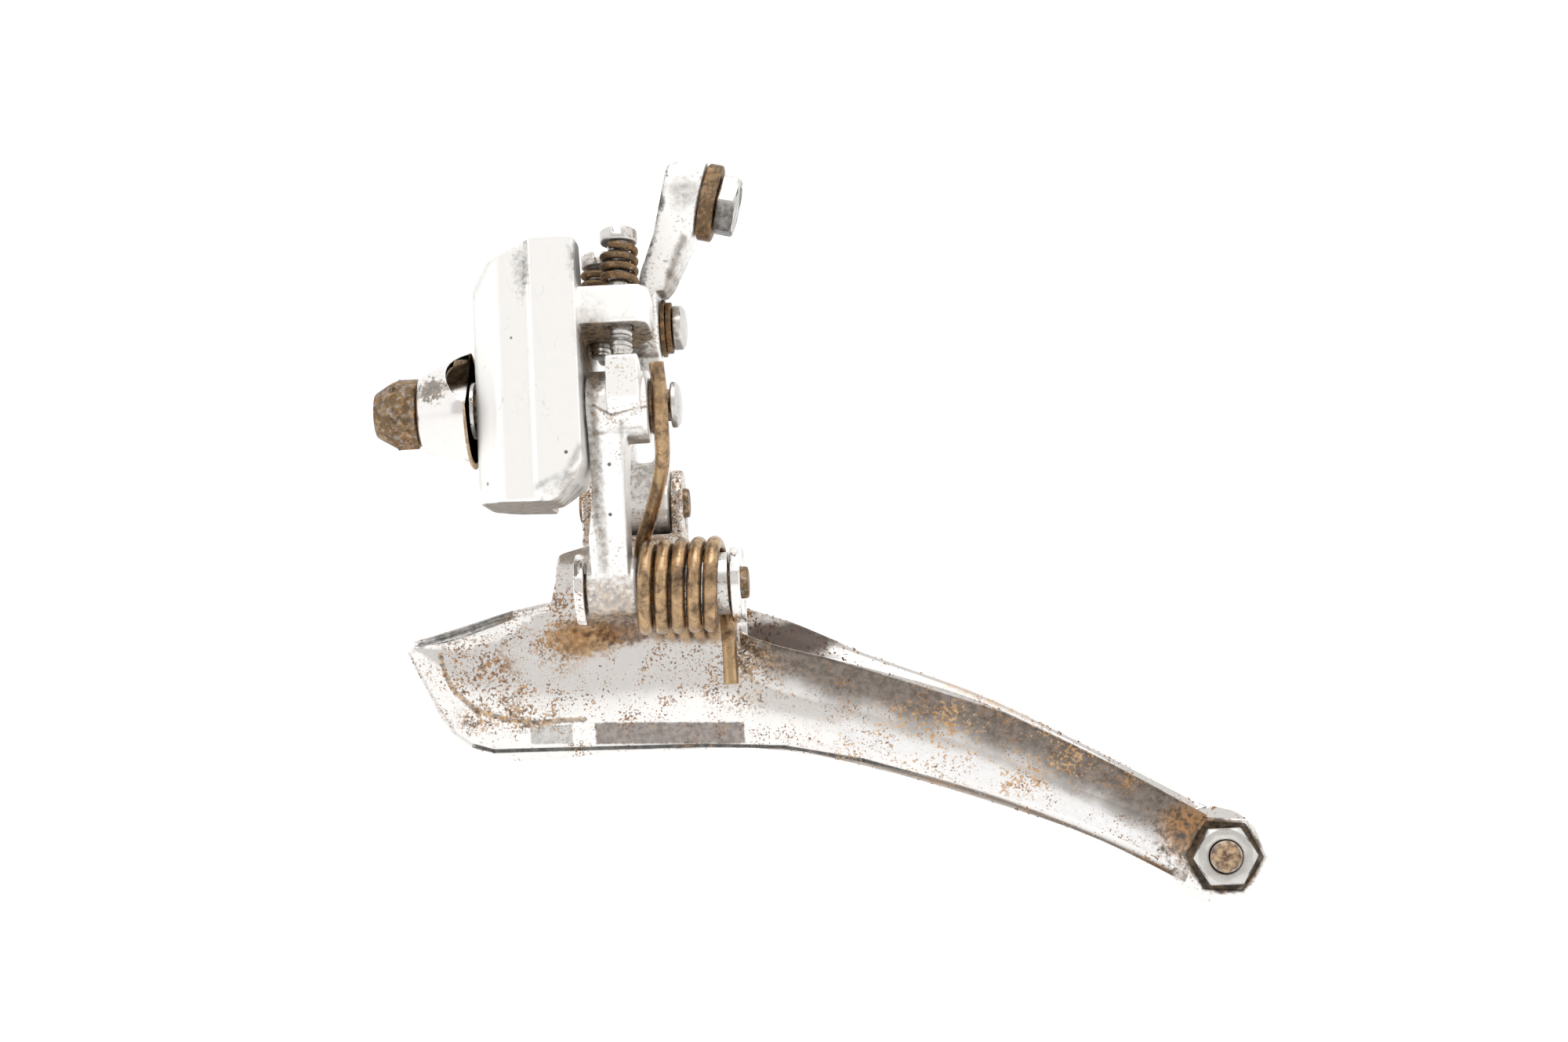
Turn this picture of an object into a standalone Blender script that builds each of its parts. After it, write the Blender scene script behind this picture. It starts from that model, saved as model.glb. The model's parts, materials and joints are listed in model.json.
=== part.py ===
"""Braze-on front derailleur: body, parallelogram linkage, cage, limit screws and cable anchor.

Frame: metres, +Z up, +X towards the rear of the bicycle, +Y outboard.
The origin is on the mounting bolt's axis, where the cup washer meets the hanger tab.
Sizes below are in millimetres and become metres where the meshes are made.
"""
import math

import bmesh
import bpy
from mathutils import Matrix, Vector

MM = 0.001

# ---- driving dimensions (mm) -------------------------------------------------------------
CLEARANCE = 0.3           # face to face, between pieces that touch
FIT = 0.15                # radial, pin in bore

LINK_LEAN = math.radians(16.0)   # links at rest, lower end outboard of vertical
LINK_LENGTH = 22.8               # upper pivot to lower pivot
LINK_OFFSET_Y = 13.0             # inner pivot to outer pivot, outboard
LINK_OFFSET_Z = 11.5             # inner pivot to outer pivot, up
PIVOT_Z = -0.5                   # upper inner pivot below the bolt's axis

PIN_RADIUS = 2.0
PIN_HEAD_RADIUS = 2.85
PIN_HEAD_HEIGHT = 1.6

BOLT_RADIUS = 2.5
BOLT_HEAD_AF = 8.0
BOLT_HEAD_LENGTH = 5.4
BOLT_REACH = 7.8          # thread end inside the body

CUP_SMALL_RADIUS = 5.0
CUP_RIM_RADIUS = 7.3
CUP_LENGTH = 6.4
CUP_WALL = 0.9

PAD_FACE_X = 0.8          # mounting pad's front face
RIB_FRONT_X = 8.5
RIB_REAR_X = 14.1
BODY_NEAR_Y = -8.0
BODY_TOP_Z = 20.4
BODY_BOTTOM_Z = -12.4

SCREW_LEAN = math.radians(9.0)   # limit screws, heads outboard of vertical
SCREW_RADIUS = 1.45
SCREW_HEAD_RADIUS = 2.3
SCREW_HEAD_HEIGHT = 1.8
SCREW_SLOT = 1.0
LOW_SCREW_X, LOW_SCREW_TIP_Y, LOW_SCREW_TIP_Z, LOW_SCREW_LENGTH = 19.1, -4.6, 5.2, 14.5
HIGH_SCREW_X, HIGH_SCREW_TIP_Y, HIGH_SCREW_TIP_Z, HIGH_SCREW_LENGTH = 15.9, 2.6, 6.1, 11.7
ARM_END_X = 22.7
ARM_UNDER, ARM_TOP = 3.6, 8.4    # arm's faces above the low screw's tip, along the screw
CABLE_FACE_X = 28.95     # cable arm's rear face on the bolt's axis
CABLE_BOLT_RISE = 15.0     # cable bolt above the upper outer pivot
CABLE_HEAD_AF = 7.0
CABLE_HEAD_HEIGHT = 2.3

LIMIT_WIRE = 0.46
LIMIT_SPRING_RADIUS = 1.95       # to the wire's centre

UPPER_BARREL_RADIUS = 4.6
LOWER_BARREL_RADIUS = 3.9
INNER_BARREL_END_X = 22.0        # rear ends of the links' upper barrels
OUTER_BARREL_END_X = 22.6
OUTER_PIN_HEAD_X = 24.2          # inner face of the upper outer pin's head
PIN_HEAD_X = 24.6                # inner faces of the upper pins' heads
WASHER_THICKNESS = 0.5
CLEVIS_BARREL_RADIUS = 3.9

PLATE_STANDOFF = 6.61547  # from the lower inner pivot out to the inner cage plate
PLATE_THICKNESS = 1.2
RIM_WIDTH = 0.8          # raised rim along the plates' top
CAGE_GAP = 11.6           # clear width for the chain
EAR_FRONT_X, EAR_REAR_X, EAR_THICKNESS = 11.3, 30.7, 1.2
EAR_RADIUS = 4.5

SPRING_WIRE = 0.92
SPRING_RADIUS = 5.1       # to the wire's centre
SPRING_PITCH = 2.03
SPRING_TURNS = 5
SPRING_START_X = 18.97
LOWER_BARREL_END_X = 19.0
LEG_LENGTH = 12.4         # lower leg, below the pivot

TAIL_X = 90.2
TAIL_DROP = 36.68321          # tail screw below the lower inner pivot
TAIL_HEX_RADIUS = 5.5
TAIL_SCREW_RADIUS = 2.0
NUT_AF, NUT_HEIGHT = 7.0, 3.0

# ---- places that follow from them --------------------------------------------------------
UI = (0.0, PIVOT_Z)                                             # (y, z) of each pivot
UO = (UI[0] + LINK_OFFSET_Y, UI[1] + LINK_OFFSET_Z)
LI = (UI[0] + LINK_LENGTH * math.sin(LINK_LEAN), UI[1] - LINK_LENGTH * math.cos(LINK_LEAN))
LO = (LI[0] + LINK_OFFSET_Y, LI[1] + LINK_OFFSET_Z)
TAIL_Z = LI[1] - TAIL_DROP
CAGE_DROP = LI[1] + 22.41679         # cage moved from where its outlines are drawn
CAGE_STRETCH = (TAIL_X - EAR_REAR_X) / 59.5      # and lengthened behind the rear ear
UPPER_BARREL_START_X = RIB_REAR_X + CLEARANCE
PLATE_Y = LI[0] + PLATE_STANDOFF
OUTER_PLATE_Y = PLATE_Y + PLATE_THICKNESS + CAGE_GAP
LOWER_START_X = EAR_FRONT_X + EAR_THICKNESS + CLEARANCE
CLEVIS_FRONT_X, CLEVIS_REAR_X = 11.2, 24.1
CLEVIS_EAR = 1.4
CLEVIS_FLOOR_Z = LO[1] - CLEVIS_BARREL_RADIUS - CLEARANCE - 0.1


# ---- small geometry helpers --------------------------------------------------------------
def polar(centre, radius, degrees):
    a = math.radians(degrees)
    return (centre[0] + radius * math.cos(a), centre[1] + radius * math.sin(a))


def arc(centre, radius, start, end, steps=10):
    """Points on a circle from start to end, in degrees."""
    return [polar(centre, radius, start + (end - start) * i / steps) for i in range(steps + 1)]


def rounded(corners, steps=4):
    """Outline through (u, v, radius) corners, each corner rounded by its radius."""
    points = []
    for i, (u, v, radius) in enumerate(corners):
        here = Vector((u, v))
        before = Vector(corners[i - 1][:2]) - here
        after = Vector(corners[(i + 1) % len(corners)][:2]) - here
        if radius <= 0:
            points.append((u, v))
            continue
        half = before.angle(after) / 2
        reach = min(radius / math.tan(half), before.length * 0.49, after.length * 0.49)
        centre = here + (before.normalized() + after.normalized()).normalized() * (reach / math.cos(half))
        a, b = here + before.normalized() * reach, here + after.normalized() * reach
        start = math.atan2(a.y - centre.y, a.x - centre.x)
        turn = math.atan2(b.y - centre.y, b.x - centre.x) - start
        turn = (turn + math.pi) % (2 * math.pi) - math.pi
        r = (a - centre).length
        points += [(centre.x + r * math.cos(start + turn * k / steps),
                    centre.y + r * math.sin(start + turn * k / steps)) for k in range(steps + 1)]
    return points


def spline(points, steps):
    """Smooth curve through the points (any dimension), with steps pieces between two points."""
    points = [Vector(p) for p in points]
    gaps = [(b - a).length for a, b in zip(points, points[1:])]
    slopes = [(b - a) / gap for a, b, gap in zip(points, points[1:], gaps)]
    inner = [(slopes[i] * gaps[i + 1] + slopes[i + 1] * gaps[i]) / (gaps[i] + gaps[i + 1])
             for i in range(len(gaps) - 1)]
    tangents = [slopes[0]] + inner + [slopes[-1]]
    out = []
    for i, gap in enumerate(gaps):
        for k in range(steps):
            t = k / steps
            out.append(points[i] * (2 * t ** 3 - 3 * t ** 2 + 1) + points[i + 1] * (3 * t ** 2 - 2 * t ** 3)
                       + tangents[i] * gap * (t ** 3 - 2 * t ** 2 + t) + tangents[i + 1] * gap * (t ** 3 - t ** 2))
    return out + [points[-1]]


def hull_outline(c1, r1, c2, r2, steps=8):
    """Outline of two circles joined by their tangents, in the (y, z) plane."""
    direction = math.degrees(math.atan2(c2[1] - c1[1], c2[0] - c1[0]))
    distance = math.hypot(c2[0] - c1[0], c2[1] - c1[1])
    open_angle = math.degrees(math.acos((r1 - r2) / distance))
    return (arc(c1, r1, direction + open_angle, direction + 360 - open_angle, steps * 2)
            + arc(c2, r2, direction - open_angle, direction + open_angle, steps))


def prism(outline, axis, low, high):
    """Extrude a closed 2-D outline along an axis: X takes (y, z), Y takes (x, z), Z takes (x, y)."""
    place = {"X": lambda u, v, w: (w, u, v), "Y": lambda u, v, w: (u, w, v), "Z": lambda u, v, w: (u, v, w)}
    bm = bmesh.new()
    ends = [[bm.verts.new(place[axis](u, v, w)) for u, v in outline] for w in (low, high)]
    bm.faces.new(ends[0])
    bm.faces.new(ends[1])
    for i in range(len(outline)):
        j = (i + 1) % len(outline)
        bm.faces.new((ends[0][i], ends[0][j], ends[1][j], ends[1][i]))
    bmesh.ops.recalc_face_normals(bm, faces=bm.faces)
    return bm


def lathe(profile, centre=(0, 0, 0), direction=(1, 0, 0), segments=24, turn=0.0):
    """Revolve a profile of (radius, along) about an axis; a first or last radius of 0 is a tip."""
    bm = bmesh.new()
    to_axis = Vector((0, 0, 1)).rotation_difference(Vector(direction)).to_matrix().to_4x4()
    rings = []
    for radius, along in profile:
        if radius <= 1e-9:
            rings.append([bm.verts.new((0, 0, along))])
        else:
            rings.append([bm.verts.new((radius * math.cos(turn + 2 * math.pi * k / segments),
                                        radius * math.sin(turn + 2 * math.pi * k / segments), along))
                          for k in range(segments)])
    closed = len(rings[0]) > 1 and len(rings[-1]) > 1
    for a, b in zip(rings, rings[1:] + (rings[:1] if closed else [])):
        for k in range(segments):
            n = (k + 1) % segments
            corners = [a[k % len(a)], a[n % len(a)], b[n % len(b)], b[k % len(b)]]
            unique = list(dict.fromkeys(corners))
            bm.faces.new(unique)
    bmesh.ops.recalc_face_normals(bm, faces=bm.faces)
    bm.transform(Matrix.Translation(centre) @ to_axis)
    return bm


def solid_cylinder(radius, start, end, centre, direction=(1, 0, 0), segments=24, edge=0.0):
    """Solid cylinder between two places along its axis, with small bevelled edges."""
    profile = [(0, start), (radius - edge, start), (radius, start + edge), (radius, end - edge),
               (radius - edge, end), (0, end)]
    if edge <= 0:
        profile = [(0, start), (radius, start), (radius, end), (0, end)]
    return lathe(profile, centre, direction, segments)


def ring(outer, inner, start, end, centre, direction=(1, 0, 0), segments=24):
    """Flat ring or tube."""
    return lathe([(inner, start), (outer, start), (outer, end), (inner, end)], centre, direction, segments)


def sweep(path, radius, segments=8, closed_ends=True):
    """Round wire along a path, kept free of twist."""
    bm = bmesh.new()
    points = [Vector(p) for p in path]
    side = None
    rings = []
    for i, point in enumerate(points):
        tangent = (points[min(i + 1, len(points) - 1)] - points[max(i - 1, 0)]).normalized()
        if side is None:
            side = tangent.orthogonal().normalized()
        side = (side - tangent * side.dot(tangent)).normalized()
        other = tangent.cross(side)
        rings.append([bm.verts.new(point + radius * (math.cos(2 * math.pi * k / segments) * side
                                                     + math.sin(2 * math.pi * k / segments) * other))
                      for k in range(segments)])
    for a, b in zip(rings, rings[1:]):
        for k in range(segments):
            n = (k + 1) % segments
            bm.faces.new((a[k], a[n], b[n], b[k]))
    if closed_ends:
        bm.faces.new(rings[0])
        bm.faces.new(rings[-1])
    bmesh.ops.recalc_face_normals(bm, faces=bm.faces)
    return bm


def loft(rows, thickness):
    """Sheet through rows of (x, y, z) points, given body by a thickness along +Y."""
    bm = bmesh.new()
    shift = Vector((0, thickness, 0))
    near = [[bm.verts.new(p) for p in row] for row in rows]
    far = [[bm.verts.new(Vector(p) + shift) for p in row] for row in rows]
    last_row, last = len(rows) - 1, len(rows[0]) - 1
    for i in range(last_row):
        for j in range(last):
            bm.faces.new((near[i][j], near[i][j + 1], near[i + 1][j + 1], near[i + 1][j]))
            bm.faces.new((far[i][j], far[i + 1][j], far[i + 1][j + 1], far[i][j + 1]))
    for j in range(last):
        for i in (0, last_row):
            bm.faces.new((near[i][j], near[i][j + 1], far[i][j + 1], far[i][j]))
    for i in range(last_row):
        for j in (0, last):
            bm.faces.new((near[i][j], near[i + 1][j], far[i + 1][j], far[i][j]))
    bmesh.ops.recalc_face_normals(bm, faces=bm.faces)
    return bm


def hex_outline(across_flats, centre=(0, 0), turn=0.0):
    return [polar(centre, across_flats / math.sqrt(3), turn + 60 * k) for k in range(6)]


# ---- objects, materials and booleans -----------------------------------------------------
def clear_scene():
    for obj in list(bpy.data.objects):
        bpy.data.objects.remove(obj, do_unlink=True)


def material(name, colour, roughness, metallic):
    mat = bpy.data.materials.get(name) or bpy.data.materials.new(name)
    mat.use_nodes = True
    shader = mat.node_tree.nodes["Principled BSDF"]
    shader.inputs["Base Color"].default_value = (*colour, 1)
    shader.inputs["Roughness"].default_value = roughness
    shader.inputs["Metallic"].default_value = metallic
    return mat


def temporary(bm, name="tool"):
    mesh = bpy.data.meshes.new(name)
    bm.to_mesh(mesh)
    bm.free()
    obj = bpy.data.objects.new(name, mesh)
    bpy.context.collection.objects.link(obj)
    return obj


def combine(base, steps):
    """Apply (operation, bmesh) steps to a bmesh with exact booleans; returns a new bmesh."""
    obj = temporary(base, "base")
    tools = []
    for operation, bm in steps:
        tool = temporary(bm)
        tools.append(tool)
        modifier = obj.modifiers.new(operation.lower(), "BOOLEAN")
        modifier.operation, modifier.solver, modifier.object = operation, "EXACT", tool
    bpy.context.view_layer.update()
    mesh = bpy.data.meshes.new_from_object(obj.evaluated_get(bpy.context.evaluated_depsgraph_get()))
    result = bmesh.new()
    result.from_mesh(mesh)
    for item in [obj, *tools]:
        bpy.data.objects.remove(item, do_unlink=True)
    bmesh.ops.remove_doubles(result, verts=result.verts, dist=1e-4)
    bmesh.ops.dissolve_degenerate(result, edges=result.edges, dist=1e-4)
    bmesh.ops.triangulate(result, faces=[f for f in result.faces if len(f.verts) > 4])
    return result


def piece(name, bm, mat, origin=(0, 0, 0)):
    """Make the named object, its own origin at a place in the shared frame (mm)."""
    bm.transform(Matrix.Translation(-Vector(origin)))
    bm.transform(Matrix.Scale(MM, 4))
    mesh = bpy.data.meshes.new(name)
    bm.to_mesh(mesh)
    bm.free()
    mesh.materials.append(material(name, *mat))
    obj = bpy.data.objects.new(name, mesh)
    obj.location = Vector(origin) * MM
    bpy.context.collection.objects.link(obj)
    return obj


POLISHED = ((0.82, 0.82, 0.80), 0.28, 1.0)
CHROMED = ((0.78, 0.78, 0.77), 0.20, 1.0)
SPECKLED = ((0.55, 0.50, 0.43), 0.45, 1.0)
RUSTY = ((0.23, 0.13, 0.06), 0.62, 0.8)
BRIGHT = ((0.62, 0.60, 0.57), 0.30, 1.0)
DARK = ((0.10, 0.08, 0.06), 0.60, 0.8)


# ---- mounting ----------------------------------------------------------------------------
def build_mounting_bolt():
    head_start = -CUP_LENGTH - CLEARANCE - BOLT_HEAD_LENGTH
    outer = BOLT_HEAD_AF / math.sqrt(3)
    blank = prism(hex_outline(BOLT_HEAD_AF, turn=19), "X", head_start, -CUP_LENGTH - CLEARANCE)
    dome = lathe([(0, head_start), (2.7, head_start), (outer - 0.35, head_start + 2.6),
                  (outer + 0.4, head_start + 3.0), (outer + 0.4, 0), (0, 0)], segments=32)
    head = combine(blank, [("INTERSECT", dome)])
    shank = solid_cylinder(BOLT_RADIUS, -CUP_LENGTH - 1.0, BOLT_REACH, (0, 0, 0), edge=0.3)
    return piece("mounting_bolt", combine(head, [("UNION", shank)]), RUSTY)


def build_cup_washer():
    r0, r1, wall = CUP_SMALL_RADIUS, CUP_RIM_RADIUS, CUP_WALL
    floor = -CUP_LENGTH + 1.0
    profile = [(BOLT_RADIUS + FIT, -CUP_LENGTH), (r0 - 0.5, -CUP_LENGTH), (r0, -CUP_LENGTH + 0.5),
               (r1, 0), (r1 - wall, 0), (r0 - wall, floor), (BOLT_RADIUS + FIT, floor)]
    cup = lathe(profile, segments=40)
    scoop = solid_cylinder(6.2, 0, 12, (3.6, 0, 0), direction=(0, -1, 1), segments=40)
    return piece("cup_washer", combine(cup, [("DIFFERENCE", scoop)]), CHROMED)


def build_bolt_sleeve():
    start, end = -CUP_LENGTH + 1.0 + CLEARANCE, PAD_FACE_X - CLEARANCE
    return piece("bolt_sleeve", ring(3.5, BOLT_RADIUS + FIT, start, end, (0, 0, 0)), BRIGHT)


# ---- body --------------------------------------------------------------------------------
def screw_frame(tip_x, tip_y, tip_z):
    """Matrix that takes a screw's own frame (tip at 0, head up) to the shared frame."""
    return Matrix.Translation((tip_x, tip_y, tip_z)) @ Matrix.Rotation(-SCREW_LEAN, 4, "X")


def low_screw_frame():
    return screw_frame(LOW_SCREW_X, LOW_SCREW_TIP_Y, LOW_SCREW_TIP_Z)


def high_screw_frame():
    return screw_frame(HIGH_SCREW_X, HIGH_SCREW_TIP_Y, HIGH_SCREW_TIP_Z)


def body_pad():
    near = BODY_NEAR_Y + 0.6
    plan = rounded([(PAD_FACE_X, -4.0, 3.0), (4.2, near, 2.5), (RIB_FRONT_X + 0.4, near, 0),
                    (RIB_FRONT_X + 0.4, 10.5, 0), (4.0, 10.5, 2.5), (PAD_FACE_X, 7.0, 2.0)])
    side = rounded([(0.0, BODY_BOTTOM_Z + 0.3, 1.5), (RIB_FRONT_X + 1, BODY_BOTTOM_Z, 0),
                    (RIB_FRONT_X + 1, BODY_TOP_Z - 0.4, 0), (RIB_FRONT_X - 0.2, BODY_TOP_Z - 0.6, 0.6),
                    (3.2, 17.4, 1.2), (0.9, 14.4, 2.0)])
    return combine(prism(plan, "Z", BODY_BOTTOM_Z, BODY_TOP_Z), [("INTERSECT", prism(side, "Y", -20, 20))])


def body_rib():
    boss = 4.8
    side = [(BODY_NEAR_Y, BODY_BOTTOM_Z), (BODY_NEAR_Y, BODY_TOP_Z - 0.4), (BODY_NEAR_Y + 0.4, BODY_TOP_Z),
            (-1.9, BODY_TOP_Z), (1.0, 11.6)] + arc(UO, boss, 172, -50, 14) + [
                (6.5, BODY_BOTTOM_Z + 2), (3.0, BODY_BOTTOM_Z)]
    front = rounded([(RIB_FRONT_X, BODY_BOTTOM_Z, 0), (10.4, BODY_BOTTOM_Z + 0.1, 1.5),
                     (13.0, BODY_BOTTOM_Z + 2.6, 1.5), (RIB_REAR_X, -7.6, 1.0),
                     (RIB_REAR_X, BODY_TOP_Z - 0.1, 0.8), (RIB_FRONT_X, BODY_TOP_Z, 0.6)])
    return combine(prism(side, "X", RIB_FRONT_X - 1, RIB_REAR_X + 1),
                   [("INTERSECT", prism(front, "Y", -20, 30)), ("DIFFERENCE", under_bevel())])


def under_bevel():
    """Slanting cut across the rib's lower near corner."""
    outward = Vector((0.4, -0.62, -0.68)).normalized()
    block = prism([(-20, -20), (20, -20), (20, 20), (-20, 20)], "Z", 0, 20)
    block.transform(Vector((0, 0, 1)).rotation_difference(outward).to_matrix().to_4x4())
    block.transform(Matrix.Translation((RIB_REAR_X - 0.3, BODY_NEAR_Y, -8.0)))
    return block


def body_screw_arm():
    """Block that holds both limit screws, square to them."""
    plan = rounded([(RIB_REAR_X - 2, -2.9, 0), (ARM_END_X, -2.9, 2.0), (ARM_END_X, 5.2, 2.0),
                    (RIB_REAR_X + 4.6, 11.0, 1.0), (RIB_REAR_X - 2, 11.0, 0)])
    plan = [(x - LOW_SCREW_X, y) for x, y in plan]
    block = prism(plan, "Z", ARM_UNDER, ARM_TOP)
    block.transform(low_screw_frame())
    return block


def build_body():
    steps = [("UNION", body_rib()), ("UNION", body_screw_arm()),
             ("DIFFERENCE", solid_cylinder(BOLT_RADIUS + FIT, -5, BOLT_REACH + 0.4, (0, 0, 0)))]
    for centre in (UI, UO):
        steps.append(("DIFFERENCE", solid_cylinder(PIN_RADIUS + FIT, RIB_FRONT_X + 0.8, 30, (0, *centre))))
    for matrix in (low_screw_frame(), high_screw_frame()):
        hole = solid_cylinder(SCREW_RADIUS + FIT, -2, 16, (0, 0, 0), direction=(0, 0, 1), segments=16)
        hole.transform(matrix)
        steps.append(("DIFFERENCE", hole))
    return piece("body", combine(body_pad(), steps), POLISHED)


# ---- upper pins and washers --------------------------------------------------------------
def build_upper_pins():
    start, r = RIB_FRONT_X + 0.8 + CLEARANCE, PIN_HEAD_RADIUS
    top = PIN_HEAD_X + 1.35
    for name, centre, head in (("upper_inner_pin", UI, PIN_HEAD_X), ("upper_outer_pin", UO, OUTER_PIN_HEAD_X)):
        profile = [(0, start), (PIN_RADIUS - 0.2, start), (PIN_RADIUS, start + 0.2), (PIN_RADIUS, head),
                   (r, head), (r, top - 0.65), (r * 0.8, top - 0.25), (r * 0.4, top - 0.05), (0, top)]
        piece(name, lathe(profile, (0, *centre)), BRIGHT, (head, *centre))


def build_upper_washers():
    inner_bore = PIN_RADIUS + FIT
    start = INNER_BARREL_END_X + FIT
    piece("upper_inner_washer", ring(3.5, inner_bore, start, start + 0.3, (0, *UI)), DARK, (start, *UI))
    start = OUTER_BARREL_END_X + CLEARANCE / 2
    piece("upper_outer_washer", ring(3.7, inner_bore, start, start + 0.5, (0, *UO)), DARK, (start, *UO))
    start += 0.5 + CLEARANCE / 2
    piece("pin_spring_washer", ring(3.3, inner_bore, start, OUTER_PIN_HEAD_X - CLEARANCE / 2, (0, *UO)), RUSTY,
          (start, *UO))


# ---- links -------------------------------------------------------------------------------
def build_inner_link():
    upper = solid_cylinder(UPPER_BARREL_RADIUS, UPPER_BARREL_START_X, INNER_BARREL_END_X, (0, *UI),
                           segments=32, edge=0.3)
    steps = [("UNION", inner_link_arm()), ("UNION", lower_barrel()), ("UNION", low_stop_tab()),
             ("UNION", high_stop_tab())]
    for centre in (UI, LI):
        steps.append(("DIFFERENCE", solid_cylinder(PIN_RADIUS + FIT, 5, 30, (0, *centre))))
    return piece("inner_link", combine(upper, steps), POLISHED, (UPPER_BARREL_START_X, *UI))


def lower_barrel():
    """Turned boss round the lower pivot, with a small raised ring."""
    r, x0, x1 = LOWER_BARREL_RADIUS, LOWER_START_X, LOWER_BARREL_END_X
    return lathe([(0, x0), (r - 0.3, x0), (r - 0.1, x0 + 0.2), (r - 0.1, x0 + 2.1), (r + 0.15, x0 + 2.2),
                  (r + 0.15, x0 + 2.5), (r, x0 + 2.6), (r - 0.05, x1 - 0.2), (r - 0.2, x1), (0, x1)],
                 (0, *LI), segments=32)


def inner_link_arm():
    side = hull_outline(UI, 3.7, LI, 3.2)
    x0 = UPPER_BARREL_START_X
    front = rounded([(x0, UI[1] + 2, 0), (x0, UI[1] - 10.5, 3.0), (x0 - 0.9, UI[1] - 16.0, 3.0),
                     (x0 - 0.9, LI[1] - 2, 0), (18.2, LI[1] - 2, 0), (18.2, LI[1] + 4.6, 1.0),
                     (18.5, UI[1] - 9.0, 3.0), (19.0, UI[1] - 4.0, 1.5), (20.4, UI[1] - 2.6, 0),
                     (20.4, UI[1] + 2, 0)])
    return combine(prism(side, "X", 12, 23), [("INTERSECT", prism(front, "Y", -20, 30))])


def low_stop_tab():
    """Upright tab that rests under the low limit screw and runs down into the barrel."""
    up = Vector((math.sin(SCREW_LEAN), math.cos(SCREW_LEAN)))
    across = Vector((up.y, -up.x))
    tip = Vector((LOW_SCREW_TIP_Y, LOW_SCREW_TIP_Z)) - up * 0.1
    near, far = tip - across * 1.9, tip + across * 1.7
    side = rounded([(near.x, near.y, 0.4), (far.x, far.y, 0.4), (UI[0] - 1.0, UI[1] + 2.6, 0),
                    (UI[0] - 1.0, UI[1] - 2.0, 0), (UI[0] - 3.6, UI[1] - 3.0, 0), (near.x + 0.4, UI[1] + 0.4, 0.8)])
    front = rounded([(17.1, -8.0, 0), (17.2, 6.5, 0), (21.2, 6.5, 0), (21.3, -8.0, 0)])
    return combine(prism(side, "X", 15, 23), [("INTERSECT", prism(front, "Y", -20, 20))])


def high_stop_tab():
    """Horn behind the barrel that meets the high limit screw at full travel."""
    reach = Vector((HIGH_SCREW_TIP_Y - UI[0], HIGH_SCREW_TIP_Z - UI[1] - 0.4))
    angle = math.degrees(math.atan2(reach.y, reach.x)) - 33.0
    tip, radius = polar(UI, reach.length - 1.3, angle), 1.1
    outline = hull_outline(UI, 2.6, tip, radius, 6)
    return prism(outline, "X", HIGH_SCREW_X - 1.3, HIGH_SCREW_X + 1.5)


def cable_frame():
    """Matrix of the cable anchor: origin on the arm's rear face, +Z along the bolt to its head."""
    return (Matrix.Translation((CABLE_FACE_X, UO[0] - 6.2, UO[1] + CABLE_BOLT_RISE))
            @ Matrix.Rotation(math.radians(90 + 14), 4, "Y"))


def build_outer_link():
    barrel = solid_cylinder(4.4, UPPER_BARREL_START_X, OUTER_BARREL_END_X, (0, *UO), segments=32, edge=0.3)
    lower = solid_cylinder(CLEVIS_BARREL_RADIUS, CLEVIS_FRONT_X + CLEVIS_EAR + CLEARANCE,
                           CLEVIS_REAR_X - CLEVIS_EAR - CLEARANCE, (0, *LO), segments=28, edge=0.2)
    web = prism(hull_outline(UO, 3.0, LO, 2.4), "X", 16.4, OUTER_BARREL_END_X)
    middle = (UO[1] + LO[1]) / 2
    window = prism(rounded([(18.2, middle - 5.9, 0.8), (20.9, middle - 5.9, 0.8), (20.9, middle + 4.5, 0.8),
                            (18.2, middle + 4.5, 0.8)]), "Y", 0, 40)
    web = combine(web, [("DIFFERENCE", window)])
    steps = [("UNION", lower), ("UNION", web), ("UNION", cable_arm())]
    for centre in (UO, LO):
        steps.append(("DIFFERENCE", solid_cylinder(PIN_RADIUS + FIT, 5, 30, (0, *centre))))
    hole = solid_cylinder(BOLT_RADIUS + FIT, -12, 5, (0, 0, 0), direction=(0, 0, 1), segments=20)
    hole.transform(cable_frame())
    steps.append(("DIFFERENCE", hole))
    return piece("outer_link", combine(barrel, steps), POLISHED, (UPPER_BARREL_START_X, *UO))


def cable_arm():
    """Long arm above the upper barrel: slopes rearward and inboard to the cable boss."""
    z, end = UO[1], OUTER_BARREL_END_X - 0.1
    front = rounded([(17.2, z - 3.5, 0), (19.6, z + 1.2, 1.0), (20.7, z + 6.1, 4.0), (22.8, z + 10.7, 5.0),
                     (24.0, z + 14.8, 5.0), (25.0, z + 19.0, 1.5), (26.5, z + 20.9, 1.5), (30.2, z + 20.2, 0.8),
                     (27.9, z + 10.9, 2.5), (26.0, z + 7.7, 4.0), (24.4, z + 4.9, 0.8), (23.5, z + 4.0, 0.2),
                     (end, z + 4.0, 0.2),
                     (end, z - 3.5, 0)])
    top = (UO[0] - 6.3, UO[1] + 16.4)
    side = hull_outline(UO, 3.4, top, 4.6)
    return combine(prism(front, "Y", -20, 40), [("INTERSECT", prism(side, "X", 10, 40)),
                                                ("DIFFERENCE", arm_chamfer())])


def arm_chamfer():
    """Slanting cut along the arm's front near edge."""
    outward = Vector((-0.84, -0.54, 0.0)).normalized()
    block = prism([(-40, -20), (40, -20), (40, 20), (-40, 20)], "Z", 0, 20)
    along = Vector((4.3, -7.0, 15.0)).normalized()
    side = along.cross(outward).normalized()
    block.transform(Matrix((along, side, outward)).transposed().to_4x4())
    block.transform(Matrix.Translation((21.9, UO[0] - 5.4, UO[1] + 9.0)))
    return block


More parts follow.
